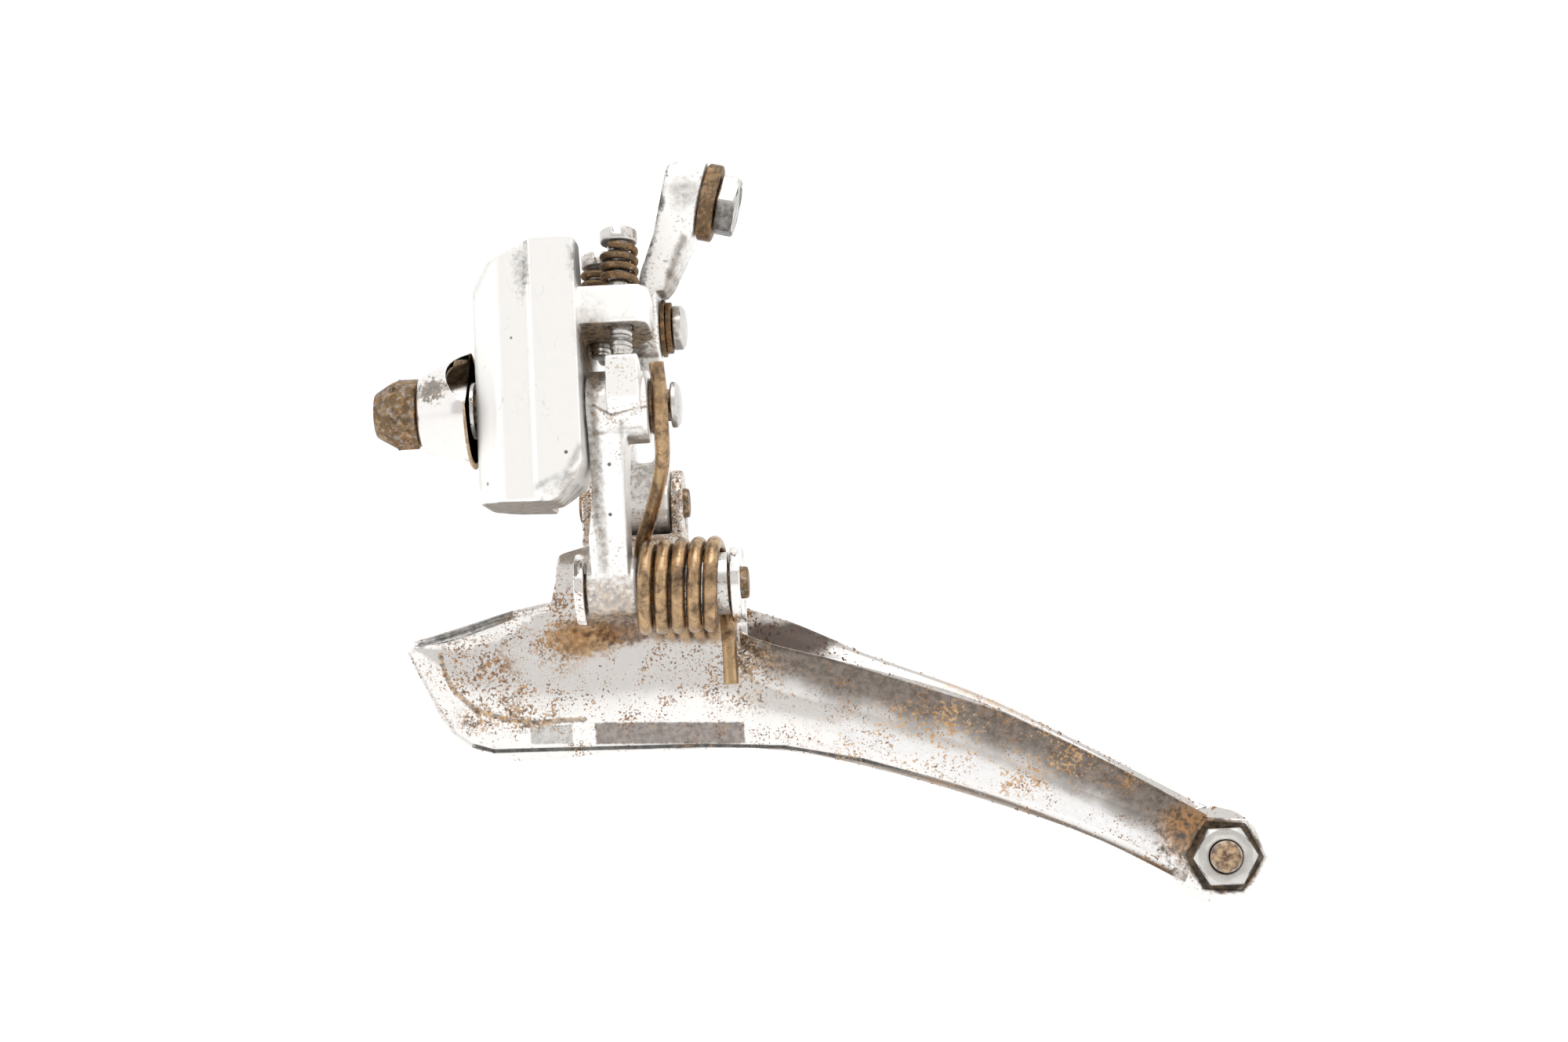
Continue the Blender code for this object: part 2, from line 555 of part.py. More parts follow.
def build_cable_anchor():
    frame = cable_frame()
    origin = frame.to_translation()
    washer = ring(4.9, BOLT_RADIUS + FIT, 0.2, 2.0, (0, 0, 0), direction=(0, 0, 1), segments=28)
    washer.transform(frame)
    piece("cable_clamp_washer", washer, RUSTY, origin)
    head_low = 2.0 + 0.2
    head_top = head_low + CABLE_HEAD_HEIGHT
    head = prism(hex_outline(CABLE_HEAD_AF, turn=90), "Z", head_low, head_top)
    dome = lathe([(0, head_low - 1), (6, head_low - 1), (6, head_top - 1.0), (3.5, head_top), (0, head_top)],
                 direction=(0, 0, 1), segments=28)
    shank = solid_cylinder(BOLT_RADIUS, -4.4, head_low + 1, (0, 0, 0), direction=(0, 0, 1), segments=20, edge=0.3)
    bolt = combine(head, [("INTERSECT", dome), ("UNION", shank)])
    bolt.transform(frame)
    piece("cable_bolt", bolt, BRIGHT, origin)


# ---- lower pins and return spring --------------------------------------------------------
def build_lower_pins():
    r = PIN_RADIUS
    rear = EAR_REAR_X + EAR_THICKNESS
    inner = lathe([(0, EAR_FRONT_X + 0.1), (r, EAR_FRONT_X + 0.1), (r, rear + 0.7),
                   (r - 0.2, rear + 0.9), (0, rear + 0.9)], (0, *LI))
    piece("lower_inner_pin", inner, BRIGHT, (EAR_FRONT_X, *LI))
    r = 1.9
    outer = lathe([(0, CLEVIS_FRONT_X - 0.6), (r, CLEVIS_FRONT_X - 0.6), (r, CLEVIS_REAR_X + 0.5),
                   (r - 0.2, CLEVIS_REAR_X + 0.7), (0, CLEVIS_REAR_X + 0.7)], (0, *LO))
    piece("lower_outer_pin", outer, BRIGHT, (CLEVIS_FRONT_X, *LO))


def build_spring_bush():
    start, end = LOWER_BARREL_END_X + CLEARANCE, EAR_REAR_X - CLEARANCE
    bm = ring(LOWER_BARREL_RADIUS, PIN_RADIUS + FIT, start, end, (0, *LI), segments=28)
    return piece("spring_bush", bm, BRIGHT, (start, *LI))


def return_spring_path():
    """Upper leg past the upper inner pin, close coils about the lower one, lower leg along the plate."""
    leg_y = UI[0] - PIN_RADIUS - SPRING_WIRE - CLEARANCE
    knee = (leg_y, UI[1] - 2.5)
    reach = math.hypot(knee[0] - LI[0], knee[1] - LI[1])
    arrive = (math.degrees(math.atan2(knee[1] - LI[1], knee[0] - LI[0]))
              - math.degrees(math.acos(SPRING_RADIUS / reach)))
    leave = -360.0 * SPRING_TURNS
    steps = int((arrive - leave) / 18)
    coil = []
    for k in range(steps + 1):
        degrees = arrive + (leave - arrive) * k / steps
        y, z = polar(LI, SPRING_RADIUS, degrees)
        coil.append((SPRING_START_X + SPRING_PITCH * (arrive - degrees) / 360, y, z))
    x_leg = (INNER_BARREL_END_X + PIN_HEAD_X) / 2 + 0.2
    start = coil[0]

    def along(t, x):
        return (x, start[1] + (knee[0] - start[1]) * t, start[2] + (knee[1] - start[2]) * t)

    upper = spline([(x_leg - 0.3, leg_y + 0.3, UI[1] + 4.9), (x_leg, leg_y, UI[1] + 1.5),
                    (x_leg, leg_y + 0.2, UI[1] - 2.0), along(0.75, x_leg - 0.3), along(0.38, x_leg - 2.3),
                    along(0.12, start[0] + 0.35), start], 4)[:-1]
    x, y, z = coil[-1]
    lower = [(x + 0.1, y, z - 2.0), (x + 0.25, y, z - LEG_LENGTH * 0.5), (x + 0.4, y, z - LEG_LENGTH)]
    return upper + coil + lower


def build_return_spring():
    return piece("return_spring", sweep(return_spring_path(), SPRING_WIRE, 8), RUSTY, (SPRING_START_X, *LI))


# ---- cage --------------------------------------------------------------------------------
def on_cage(x, y, z):
    """Point of a plate's outline, carried to where the pivot and the tail screw are."""
    return (x + max(0.0, x - EAR_REAR_X) * (CAGE_STRETCH - 1), y, z + CAGE_DROP)


def cage_tab(corners, y):
    """Flat tab of a plate from (x, z, radius) corners."""
    return prism(rounded([(x, z + CAGE_DROP, radius) for x, z, radius in corners]), "Y", y, y + PLATE_THICKNESS)


def plate_rows(lower, low_crease, high_crease, upper, steps):
    """Edges and creases of a pressed plate as smooth rows of (x, y, z), rounded across as well."""
    rim = []
    for top, crease in zip(upper, high_crease):
        share = min(0.3, RIM_WIDTH / max(top[2] - crease[2], 0.1))
        rim.append((top[0] + (crease[0] - top[0]) * share, top[1], top[2] + (crease[2] - top[2]) * share))
    rows = [spline([on_cage(*point) for point in row], steps) for row in (lower, low_crease, high_crease, rim, upper)]
    across = [spline(column, 2) for column in zip(*rows)]
    return [list(row) for row in zip(*across)]


def inner_plate_panel():
    """Flat panel with its lower border bent outboard and a dished tail with a raised rim."""
    y = PLATE_Y
    bevel, lip = y + 1.1, y - 1.4
    low = [(-11.7, y + 0.5, -28.7), (-9.1, y + 1.1, -34.4), (-6.0, bevel, -39.7), (-2.6, bevel, -41.9),
           (17.0, bevel, -42.5), (30.6, bevel, -42.8), (36.0, bevel, -43.3), (46.0, y + 0.9, -45.5),
           (59.6, y + 0.7, -49.2), (75.6, y + 0.6, -55.4), (85.2, y + 0.5, -60.8)]
    crease = [(-11.0, y, -28.4), (-7.8, y, -31.2), (-4.9, y, -35.0), (0.7, y, -38.0), (17.0, y, -38.8),
              (30.6, y, -39.2), (35.0, y, -39.9), (46.0, y, -42.7), (60.0, y, -47.0), (75.6, y, -53.6),
              (86.0, y, -59.4)]
    high = [(-10.7, y, -28.0), (-7.4, y, -28.0), (-3.6, y, -27.0), (4.0, y, -25.0), (17.0, y, -25.0),
            (30.9, y, -30.2), (33.6, y, -32.3), (46.2, y, -37.2), (60.2, y, -43.0), (75.4, y, -50.2),
            (87.0, y, -56.4)]
    top = [(-10.8, y + 0.6, -27.4), (-7.6, y + 0.9, -26.6), (-3.9, y + 0.9, -25.6), (4.0, y + 0.4, -23.7),
           (17.0, y, -23.0), (30.9, y, -28.2), (33.0, lip, -29.2), (46.2, lip, -33.2), (60.2, lip, -38.0),
           (75.0, lip + 0.3, -45.9), (88.4, y - 0.4, -53.9)]
    return loft(plate_rows(low, crease, high, top, 4), PLATE_THICKNESS)


def pivot_ear(x, radius=EAR_RADIUS):
    """Round ear bent from the plate towards the lower inner pivot."""
    root = PLATE_Y + PLATE_THICKNESS
    outline = arc(LI, radius, 90, 270, 14) + [(root, LI[1] - radius), (root, LI[1] + radius)]
    return prism(outline, "X", x, x + EAR_THICKNESS)


def tail_hexagon(y_low, y_high, radius):
    return prism([polar((TAIL_X, TAIL_Z), radius, 55 + 60 * k) for k in range(6)], "Y", y_low, y_high)


def build_inner_cage_plate():
    y = PLATE_Y
    tab = cage_tab([(6.5, -26.0, 0), (7.6, -21.2, 1.6), (8.1, -17.3, 1.2), (12.6, -16.1, 1.0),
                         (24.4, -16.3, 1.5), (26.8, -19.0, 1.5), (EAR_REAR_X + EAR_THICKNESS, -19.6, 0),
                         (EAR_REAR_X + EAR_THICKNESS, -30.5, 0), (18.0, -30.0, 0)], y)
    steps = [("UNION", tab), ("UNION", pivot_ear(EAR_FRONT_X)), ("UNION", pivot_ear(EAR_REAR_X)),
             ("UNION", tail_hexagon(y - 0.5, y + PLATE_THICKNESS, TAIL_HEX_RADIUS)),
             ("DIFFERENCE", tail_hexagon(y - 3, y + 0.1, TAIL_HEX_RADIUS - 0.7)),
             ("DIFFERENCE", solid_cylinder(PIN_RADIUS + FIT, 5, 40, (0, *LI))),
             ("DIFFERENCE", solid_cylinder(TAIL_SCREW_RADIUS + FIT, 0, 40, (TAIL_X, 0, TAIL_Z), (0, 1, 0)))]
    return piece("inner_cage_plate", combine(inner_plate_panel(), steps), CHROMED, (EAR_FRONT_X, *LI))


def build_outer_cage_plate():
    y = OUTER_PLATE_Y
    bevel, lip = y - 1.2, y + 1.0
    low = [(-10.6, y, -30.0), (-8.0, bevel, -35.4), (-5.0, bevel, -39.6), (0.0, bevel, -41.8),
           (17.0, bevel, -42.4), (35.8, bevel, -43.3), (46.0, bevel, -45.9), (59.6, bevel, -50.4),
           (75.6, bevel, -56.8), (86.0, bevel, -62.6)]
    crease = [(-10.0, y, -29.4), (-7.0, y, -32.0), (-4.0, y, -36.0), (1.4, y, -39.4), (17.0, y, -40.4),
              (33.0, y, -41.0), (46.0, y, -43.4), (60.0, y, -47.6), (75.6, y, -54.0), (87.0, y, -60.0)]
    high = [(-9.8, y, -28.8), (-6.6, y, -28.4), (-3.0, y, -27.4), (4.0, y, -25.6), (17.0, y, -24.0),
            (31.6, y, -27.0), (46.2, y, -32.8), (60.2, y, -38.6), (75.4, y, -46.8), (88.0, y, -55.0)]
    top = [(-9.6, lip, -28.2), (-6.8, lip, -26.9), (-3.3, lip, -26.0), (4.0, y, -23.6), (17.0, y, -21.5),
           (31.4, y, -24.4), (46.2, lip, -30.9), (60.2, lip, -36.7), (75.0, lip, -44.6), (89.6, y, -53.2)]
    tab = cage_tab([(7.6, -26.0, 0), (9.8, -18.6, 2.0), (CLEVIS_REAR_X + 2.2, -18.6, 2.0),
                         (CLEVIS_REAR_X + 4.6, -29.0, 0)], y)
    disc = solid_cylinder(6.2, y, y + PLATE_THICKNESS, (TAIL_X - 0.2, 0, TAIL_Z), (0, 1, 0), segments=32)
    steps = [("UNION", tab), ("UNION", disc),
             ("DIFFERENCE", solid_cylinder(TAIL_SCREW_RADIUS + FIT, 0, 40, (TAIL_X, 0, TAIL_Z), (0, 1, 0)))]
    steps += [("DIFFERENCE", solid_cylinder(1.5 + FIT, 0, 40, place, (0, 1, 0), 16)) for place in clevis_rivets()]
    return piece("outer_cage_plate", combine(loft(plate_rows(low, crease, high, top, 4), PLATE_THICKNESS), steps),
                 CHROMED, (TAIL_X, y, TAIL_Z))


def clevis_rivets():
    z = CLEVIS_FLOOR_Z - 6.4
    return [(CLEVIS_FRONT_X + 3.0, 0, z), (CLEVIS_REAR_X - 3.0, 0, z)]


def build_cage_clevis():
    near = PLATE_Y + PLATE_THICKNESS + CLEARANCE
    far = OUTER_PLATE_Y - CLEARANCE
    floor = prism(rounded([(CLEVIS_FRONT_X, CLEVIS_FLOOR_Z, 0), (CLEVIS_FRONT_X, CLEVIS_FLOOR_Z - 1.5, 0.8),
                           (CLEVIS_REAR_X, CLEVIS_FLOOR_Z - 1.5, 1.2), (CLEVIS_REAR_X, CLEVIS_FLOOR_Z, 0)]),
                  "Y", near, far)
    ear = arc(LO, 4.3, 0, 180, 14) + [(LO[0] - 4.3, CLEVIS_FLOOR_Z - 0.8), (LO[0] + 4.3, CLEVIS_FLOOR_Z - 0.8)]
    skirt = prism(rounded([(CLEVIS_FRONT_X, CLEVIS_FLOOR_Z - 0.4, 0), (CLEVIS_FRONT_X, CLEVIS_FLOOR_Z - 9.0, 1.5),
                           (CLEVIS_REAR_X, CLEVIS_FLOOR_Z - 9.0, 1.5), (CLEVIS_REAR_X, CLEVIS_FLOOR_Z - 0.4, 0)]),
                  "Y", far - 1.3, far)
    steps = [("UNION", prism(ear, "X", CLEVIS_FRONT_X, CLEVIS_FRONT_X + CLEVIS_EAR)),
             ("UNION", prism(ear, "X", CLEVIS_REAR_X - CLEVIS_EAR, CLEVIS_REAR_X)), ("UNION", skirt),
             ("DIFFERENCE", solid_cylinder(1.9 + FIT, 5, 30, (0, *LO)))]
    steps += [("DIFFERENCE", solid_cylinder(1.5 + FIT, 0, 40, place, (0, 1, 0), 16)) for place in clevis_rivets()]
    return piece("cage_clevis", combine(floor, steps), SPECKLED, (CLEVIS_FRONT_X, *LO))


def build_clevis_rivets():
    start, end = OUTER_PLATE_Y - CLEARANCE - 1.3 - 0.8, OUTER_PLATE_Y + PLATE_THICKNESS + 0.9
    for name, place in zip(("clevis_rivet_front", "clevis_rivet_rear"), clevis_rivets()):
        profile = [(0, start), (2.2, start), (2.5, start + 0.6), (1.5, start + 0.6), (1.5, end - 0.7),
                   (2.5, end - 0.7), (2.1, end), (0, end)]
        piece(name, lathe(profile, place, (0, 1, 0), 16), BRIGHT, place)


def build_tail():
    place = (TAIL_X, 0, TAIL_Z)
    r = TAIL_SCREW_RADIUS
    near = PLATE_Y + 0.1 - CLEARANCE
    far = OUTER_PLATE_Y + PLATE_THICKNESS + CLEARANCE
    spacer = ring(3.1, r + FIT, PLATE_Y + PLATE_THICKNESS + CLEARANCE, OUTER_PLATE_Y - CLEARANCE, place, (0, 1, 0))
    piece("tail_spacer", spacer, BRIGHT, place)
    screw = lathe([(0, near - NUT_HEIGHT - 1.2), (r - 0.4, near - NUT_HEIGHT - 1.2), (r, near - NUT_HEIGHT - 0.8),
                   (r, far), (3.6, far), (3.6, far + 1.6), (3.0, far + 2.2), (0, far + 2.2)], place, (0, 1, 0))
    slot = prism([(TAIL_X - 5, TAIL_Z - 0.5), (TAIL_X + 5, TAIL_Z - 0.5), (TAIL_X + 5, TAIL_Z + 0.5),
                  (TAIL_X - 5, TAIL_Z + 0.5)], "Y", far + 1.2, far + 4)
    piece("tail_screw", combine(screw, [("DIFFERENCE", slot)]), BRIGHT, place)
    nut = prism(hex_outline(NUT_AF, (TAIL_X, TAIL_Z)), "Y", near - NUT_HEIGHT, near)
    dome = lathe([(0, near - NUT_HEIGHT), (3.35, near - NUT_HEIGHT), (4.3, near - NUT_HEIGHT + 0.6), (4.3, near + 1),
                  (0, near + 1)], place, (0, 1, 0), 28)
    bore = solid_cylinder(r + FIT, 0, 20, place, (0, 1, 0))
    piece("tail_nut", combine(nut, [("INTERSECT", dome), ("DIFFERENCE", bore)]), BRIGHT, place)


# ---- limit screws ------------------------------------------------------------------------
def build_limit_screw(name, spring_name, frame, length):
    r, head = SCREW_RADIUS, SCREW_HEAD_RADIUS
    profile = [(0, 0), (r - 0.3, 0), (r, 0.3), (r, length), (head - 0.1, length), (head, length + 0.2),
               (head, length + SCREW_HEAD_HEIGHT - 0.3), (head - 0.4, length + SCREW_HEAD_HEIGHT),
               (0, length + SCREW_HEAD_HEIGHT)]
    half = SCREW_SLOT / 2
    slot = prism([(-half, length + SCREW_HEAD_HEIGHT - 0.9), (half, length + SCREW_HEAD_HEIGHT - 0.9),
                  (half, length + 5), (-half, length + 5)], "Y", -5, 5)
    screw = combine(lathe(profile, direction=(0, 0, 1), segments=20), [("DIFFERENCE", slot)])
    screw.transform(frame)
    origin = frame.to_translation()
    piece(name, screw, BRIGHT, origin)
    arm_top = (low_screw_frame() @ Vector((0, 0, ARM_TOP)) - origin).dot(frame.to_3x3() @ Vector((0, 0, 1)))
    build_limit_spring(spring_name, frame, arm_top + 0.1, length - 0.1)


def build_limit_spring(name, frame, low, high):
    low, high = low + LIMIT_WIRE, high - LIMIT_WIRE
    turns = 4.5 * (high - low) / 5.8
    steps = int(14 * turns)
    path = [(LIMIT_SPRING_RADIUS * math.cos(2 * math.pi * turns * k / steps),
             LIMIT_SPRING_RADIUS * math.sin(2 * math.pi * turns * k / steps),
             low + (high - low) * k / steps) for k in range(steps + 1)]
    coil = sweep(path, LIMIT_WIRE, 6)
    coil.transform(frame)
    piece(name, coil, RUSTY, frame.to_translation())


def main():
    clear_scene()
    build_mounting_bolt()
    build_cup_washer()
    build_bolt_sleeve()
    build_body()
    build_upper_pins()
    build_upper_washers()
    build_inner_link()
    build_outer_link()
    build_cable_anchor()
    build_lower_pins()
    build_spring_bush()
    build_return_spring()
    build_inner_cage_plate()
    build_outer_cage_plate()
    build_cage_clevis()
    build_clevis_rivets()
    build_tail()
    build_limit_screw("low_limit_screw", "low_limit_spring", low_screw_frame(), LOW_SCREW_LENGTH)
    build_limit_screw("high_limit_screw", "high_limit_spring", high_screw_frame(), HIGH_SCREW_LENGTH)


main()
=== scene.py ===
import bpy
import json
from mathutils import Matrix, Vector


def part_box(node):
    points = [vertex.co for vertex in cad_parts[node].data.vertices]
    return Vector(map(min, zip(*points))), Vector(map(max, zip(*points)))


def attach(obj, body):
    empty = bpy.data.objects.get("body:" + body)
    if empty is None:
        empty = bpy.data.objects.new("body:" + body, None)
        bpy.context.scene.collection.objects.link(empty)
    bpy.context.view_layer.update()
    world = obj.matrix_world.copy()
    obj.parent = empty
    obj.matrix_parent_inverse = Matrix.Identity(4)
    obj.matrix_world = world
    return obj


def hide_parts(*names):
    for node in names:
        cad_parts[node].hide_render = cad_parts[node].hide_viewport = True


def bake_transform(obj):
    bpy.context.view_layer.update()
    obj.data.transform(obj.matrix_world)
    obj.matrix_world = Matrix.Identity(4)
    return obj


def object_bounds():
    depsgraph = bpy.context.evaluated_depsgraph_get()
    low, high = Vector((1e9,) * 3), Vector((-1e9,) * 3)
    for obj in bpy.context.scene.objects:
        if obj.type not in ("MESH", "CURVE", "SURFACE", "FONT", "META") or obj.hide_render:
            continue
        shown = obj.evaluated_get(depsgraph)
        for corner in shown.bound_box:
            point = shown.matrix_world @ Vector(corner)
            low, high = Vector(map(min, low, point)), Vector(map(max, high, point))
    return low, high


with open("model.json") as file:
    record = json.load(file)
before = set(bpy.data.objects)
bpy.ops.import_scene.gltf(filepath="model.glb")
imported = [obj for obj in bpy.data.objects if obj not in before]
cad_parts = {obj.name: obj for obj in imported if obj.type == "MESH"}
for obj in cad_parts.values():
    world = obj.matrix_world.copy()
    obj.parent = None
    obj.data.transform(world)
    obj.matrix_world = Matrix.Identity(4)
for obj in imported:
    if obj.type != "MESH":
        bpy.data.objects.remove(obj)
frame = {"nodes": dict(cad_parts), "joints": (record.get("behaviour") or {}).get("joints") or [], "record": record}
CAD_BOX = [list(corner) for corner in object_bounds()]

import json
import math

import bmesh
import bpy
from bpy.props import FloatProperty, FloatVectorProperty, IntProperty, PointerProperty
from mathutils import Matrix, Vector

bl_info = {
    "name": "Front derailleur",
    "version": (1, 0, 0),
    "blender": (4, 5, 0),
    "location": "View3D > Sidebar > Derailleur",
    "description": "Finishes a worn, brazed-on front derailleur around its CAD frame",
    "category": "Object",
}

MM = 0.001
BODY_OF = {node: body for body, nodes in frame["record"]["behaviour"]["bodies"].items() for node in nodes}
JOINTS = {joint["name"]: joint for joint in frame["joints"]}
PIVOT_UPPER = Vector(JOINTS["inner_link_swing"]["pos_m"])
PIVOT_LOWER = Vector(JOINTS["cage_swing"]["pos_m"])
CAMERA_ANGLES = (3, 5, 2.6)         # yaw, pitch and roll in degrees
CAMERA_LENS, CAMERA_SENSOR = 74.16, 36
CAMERA_ASIDE = (-38.45, 13.59)      # middle of the view from the bolt, right and up in millimetres


# ---- settings ----------------------------------------------------------------------------
def length(name, description, millimetres, low=0.0):
    return FloatProperty(name=name, description=description, default=millimetres * MM, min=low * MM,
                         subtype="DISTANCE", unit="LENGTH", precision=5)


def colour(name, description, rgb):
    return FloatVectorProperty(name=name, description=description, default=rgb, size=3, min=0, max=1,
                               subtype="COLOR")


class DerailleurShape(bpy.types.PropertyGroup):
    """Sizes of the details that the CAD frame leaves plain"""
    edge_round: length("Edge round", "Radius worn onto cast and turned edges", 0.16)
    screw_pitch: length("Limit screw pitch", "Thread pitch of the limit screws", 0.5, 0.2)
    thread_depth: length("Thread depth", "Depth of the thread below its crest", 0.26, 0.02)
    limit_wire: length("Limit spring wire", "Radius of the limit springs' wire", 0.46, 0.1)
    limit_turns: FloatProperty(name="Limit spring turns", description="Turns per 10 mm of limit spring",
                               default=7.8, min=1, max=20)
    return_wire: length("Return spring wire", "Radius of the return spring's wire", 0.92, 0.2)
    return_radius: length("Return spring radius", "From the coil's axis to the wire's centre", 5.1, 1)
    return_pitch: length("Return spring pitch", "Distance between turns of the return spring", 2.03, 0.5)
    return_turns: IntProperty(name="Return spring turns", description="Whole turns of the return spring",
                              default=5, min=1, max=12)


class DerailleurFinish(bpy.types.PropertyGroup):
    """Colours of the metals, the rust and the soil; some of them also colour the painted shade"""
    aluminium: colour("Aluminium", "Polished cast aluminium", (0.97, 0.955, 0.93))
    chrome: colour("Chrome", "Worn chrome plate", (0.87, 0.845, 0.82))
    # This dark colour also paints the shade under things and on the rib's side.
    steel: colour("Bright steel", "Zinc-plated and bare steel", (0.68, 0.66, 0.63))
    grime_and_shade: colour("Grime", "Dried chain oil", (0.050, 0.040, 0.030))
    rust_dark: colour("Dark rust", "Old brown rust", (0.085, 0.035, 0.014))
    rust_light: colour("Light rust", "Fresh orange rust", (0.46, 0.23, 0.075))
    bronze_dark: colour("Dark bronze", "Tarnished spring steel, dark parts", (0.052, 0.033, 0.022))
    bronze_light: colour("Light bronze", "Tarnished spring steel, rubbed parts", (0.50, 0.34, 0.19))


class DerailleurStudio(bpy.types.PropertyGroup):
    """The camera and the light around the derailleur"""
    floor_drop: length("Floor drop", "Floor below the derailleur's lowest point", 60)
    sky: FloatProperty(name="Tent light", description="Strength of the white light tent", default=1.14,
                       min=0, max=5)
    key: FloatProperty(name="Key light", description="Power of the large overhead light", default=1.3,
                       min=0, max=50, unit="POWER")
    camera_distance: length("Camera distance", "From the camera to the mounting bolt", 400, 100)


# ---- shader graph helpers ----------------------------------------------------------------
class Graph:
    """Adds nodes to one node tree, joining sockets and setting plain values by name."""

    def __init__(self, tree):
        self.tree = tree

    def add(self, kind, inputs=None, **settings):
        node = self.tree.nodes.new(kind)
        for key, value in settings.items():
            setattr(node, key, value)
        for key, value in (inputs or {}).items():
            if isinstance(value, bpy.types.NodeSocket):
                self.tree.links.new(value, node.inputs[key])
            else:
                node.inputs[key].default_value = value
        return node

    def math(self, operation, *values, clamp=False):
        return self.add("ShaderNodeMath", dict(enumerate(values)), operation=operation, use_clamp=clamp).outputs[0]

    def vector(self, operation, first, second):
        key = "Scale" if operation == "SCALE" else 1
        return self.add("ShaderNodeVectorMath", {0: first, key: second}, operation=operation).outputs[0]

    def measure(self, operation, first, second):
        """Distance or product of two vectors, as a number."""
        return self.add("ShaderNodeVectorMath", {0: first, 1: second}, operation=operation).outputs[1]

    def noise(self, vector, detail=3.0, roughness=0.5, distortion=0.0):
        return self.add("ShaderNodeTexNoise", {"Vector": vector, "Scale": 1.0, "Detail": detail,
                                               "Roughness": roughness, "Distortion": distortion}).outputs[0]

    def smooth_step(self, value, low, high, to_low=0.0, to_high=1.0):
        return self.add("ShaderNodeMapRange", {"Value": value, "From Min": low, "From Max": high,
                                               "To Min": to_low, "To Max": to_high},
                        interpolation_type="SMOOTHSTEP").outputs[0]

    def blend_value(self, mask, a, b):
        return self.add("ShaderNodeMix", {0: mask, 2: a, 3: b}).outputs[0]

    def blend_colour(self, mask, a, b):
        return self.add("ShaderNodeMix", {0: mask, 6: a, 7: b}, data_type="RGBA").outputs[2]

    def group(self, name, inputs):
        node = self.add("ShaderNodeGroup")
        node.node_tree = bpy.data.node_groups[name]
        for key, value in inputs.items():
            if isinstance(value, bpy.types.NodeSocket):
                self.tree.links.new(value, node.inputs[key])
            else:
                node.inputs[key].default_value = value
        return node


def new_group(name, inputs, outputs):
    """An empty shader node group with the given sockets, and its input and output nodes."""
    tree = bpy.data.node_groups.new(name, "ShaderNodeTree")
    for label, kind, default in inputs:
        socket = tree.interface.new_socket(label, in_out="INPUT", socket_type=kind)
        if default is not None:
            socket.default_value = default
    for label, kind in outputs:
        tree.interface.new_socket(label, in_out="OUTPUT", socket_type=kind)
    graph = Graph(tree)
    return graph, graph.add("NodeGroupInput").outputs, graph.add("NodeGroupOutput").inputs


FLOAT, VECTOR = "NodeSocketFloat", "NodeSocketVector"


def rust_specks_group():
    """Small ragged spots that gather in clusters."""
    g, given, out = new_group("Rust specks", [("Vector", VECTOR, None), ("Size", FLOAT, 0.0006),
                                              ("Threshold", FLOAT, 0.62), ("Cluster", FLOAT, 0.5)],
                              [("Mask", FLOAT)])
    unit = g.math("DIVIDE", 1.0, given["Size"])
    place = g.vector("SCALE", given["Vector"], unit)
    fine = g.noise(place, 4, 0.62)
    coarse = g.noise(g.vector("SCALE", place, 0.09), 3, 0.55)
    value = g.math("MULTIPLY_ADD", g.math("SUBTRACT", coarse, 0.5), given["Cluster"], fine)
    edge = g.math("ADD", given["Threshold"], 0.035)
    g.tree.links.new(g.smooth_step(value, given["Threshold"], edge), out["Mask"])


def stain_and_shade_patch_group():
    """One soft patch about a centre, with a ragged edge."""
    # Used for stains and for painted shade.
    g, given, out = new_group("Stain patch", [("Vector", VECTOR, None), ("Centre", VECTOR, (0, 0, 0)),
                                              ("Reach", VECTOR, (0.01, 0.01, 0.01)), ("Ragged", FLOAT, 0.8),
                                              ("Grain", FLOAT, 0.0012)], [("Mask", FLOAT)])
    offset = g.vector("SUBTRACT", given["Vector"], given["Centre"])
    away = g.measure("DISTANCE", g.vector("DIVIDE", offset, given["Reach"]), (0, 0, 0))
    rough = g.noise(g.vector("SCALE", given["Vector"], g.math("DIVIDE", 1.0, given["Grain"])), 5, 0.65)
    value = g.math("MULTIPLY_ADD", g.math("SUBTRACT", rough, 0.5), given["Ragged"], away)
    g.tree.links.new(g.smooth_step(value, 1.15, 0.55), out["Mask"])


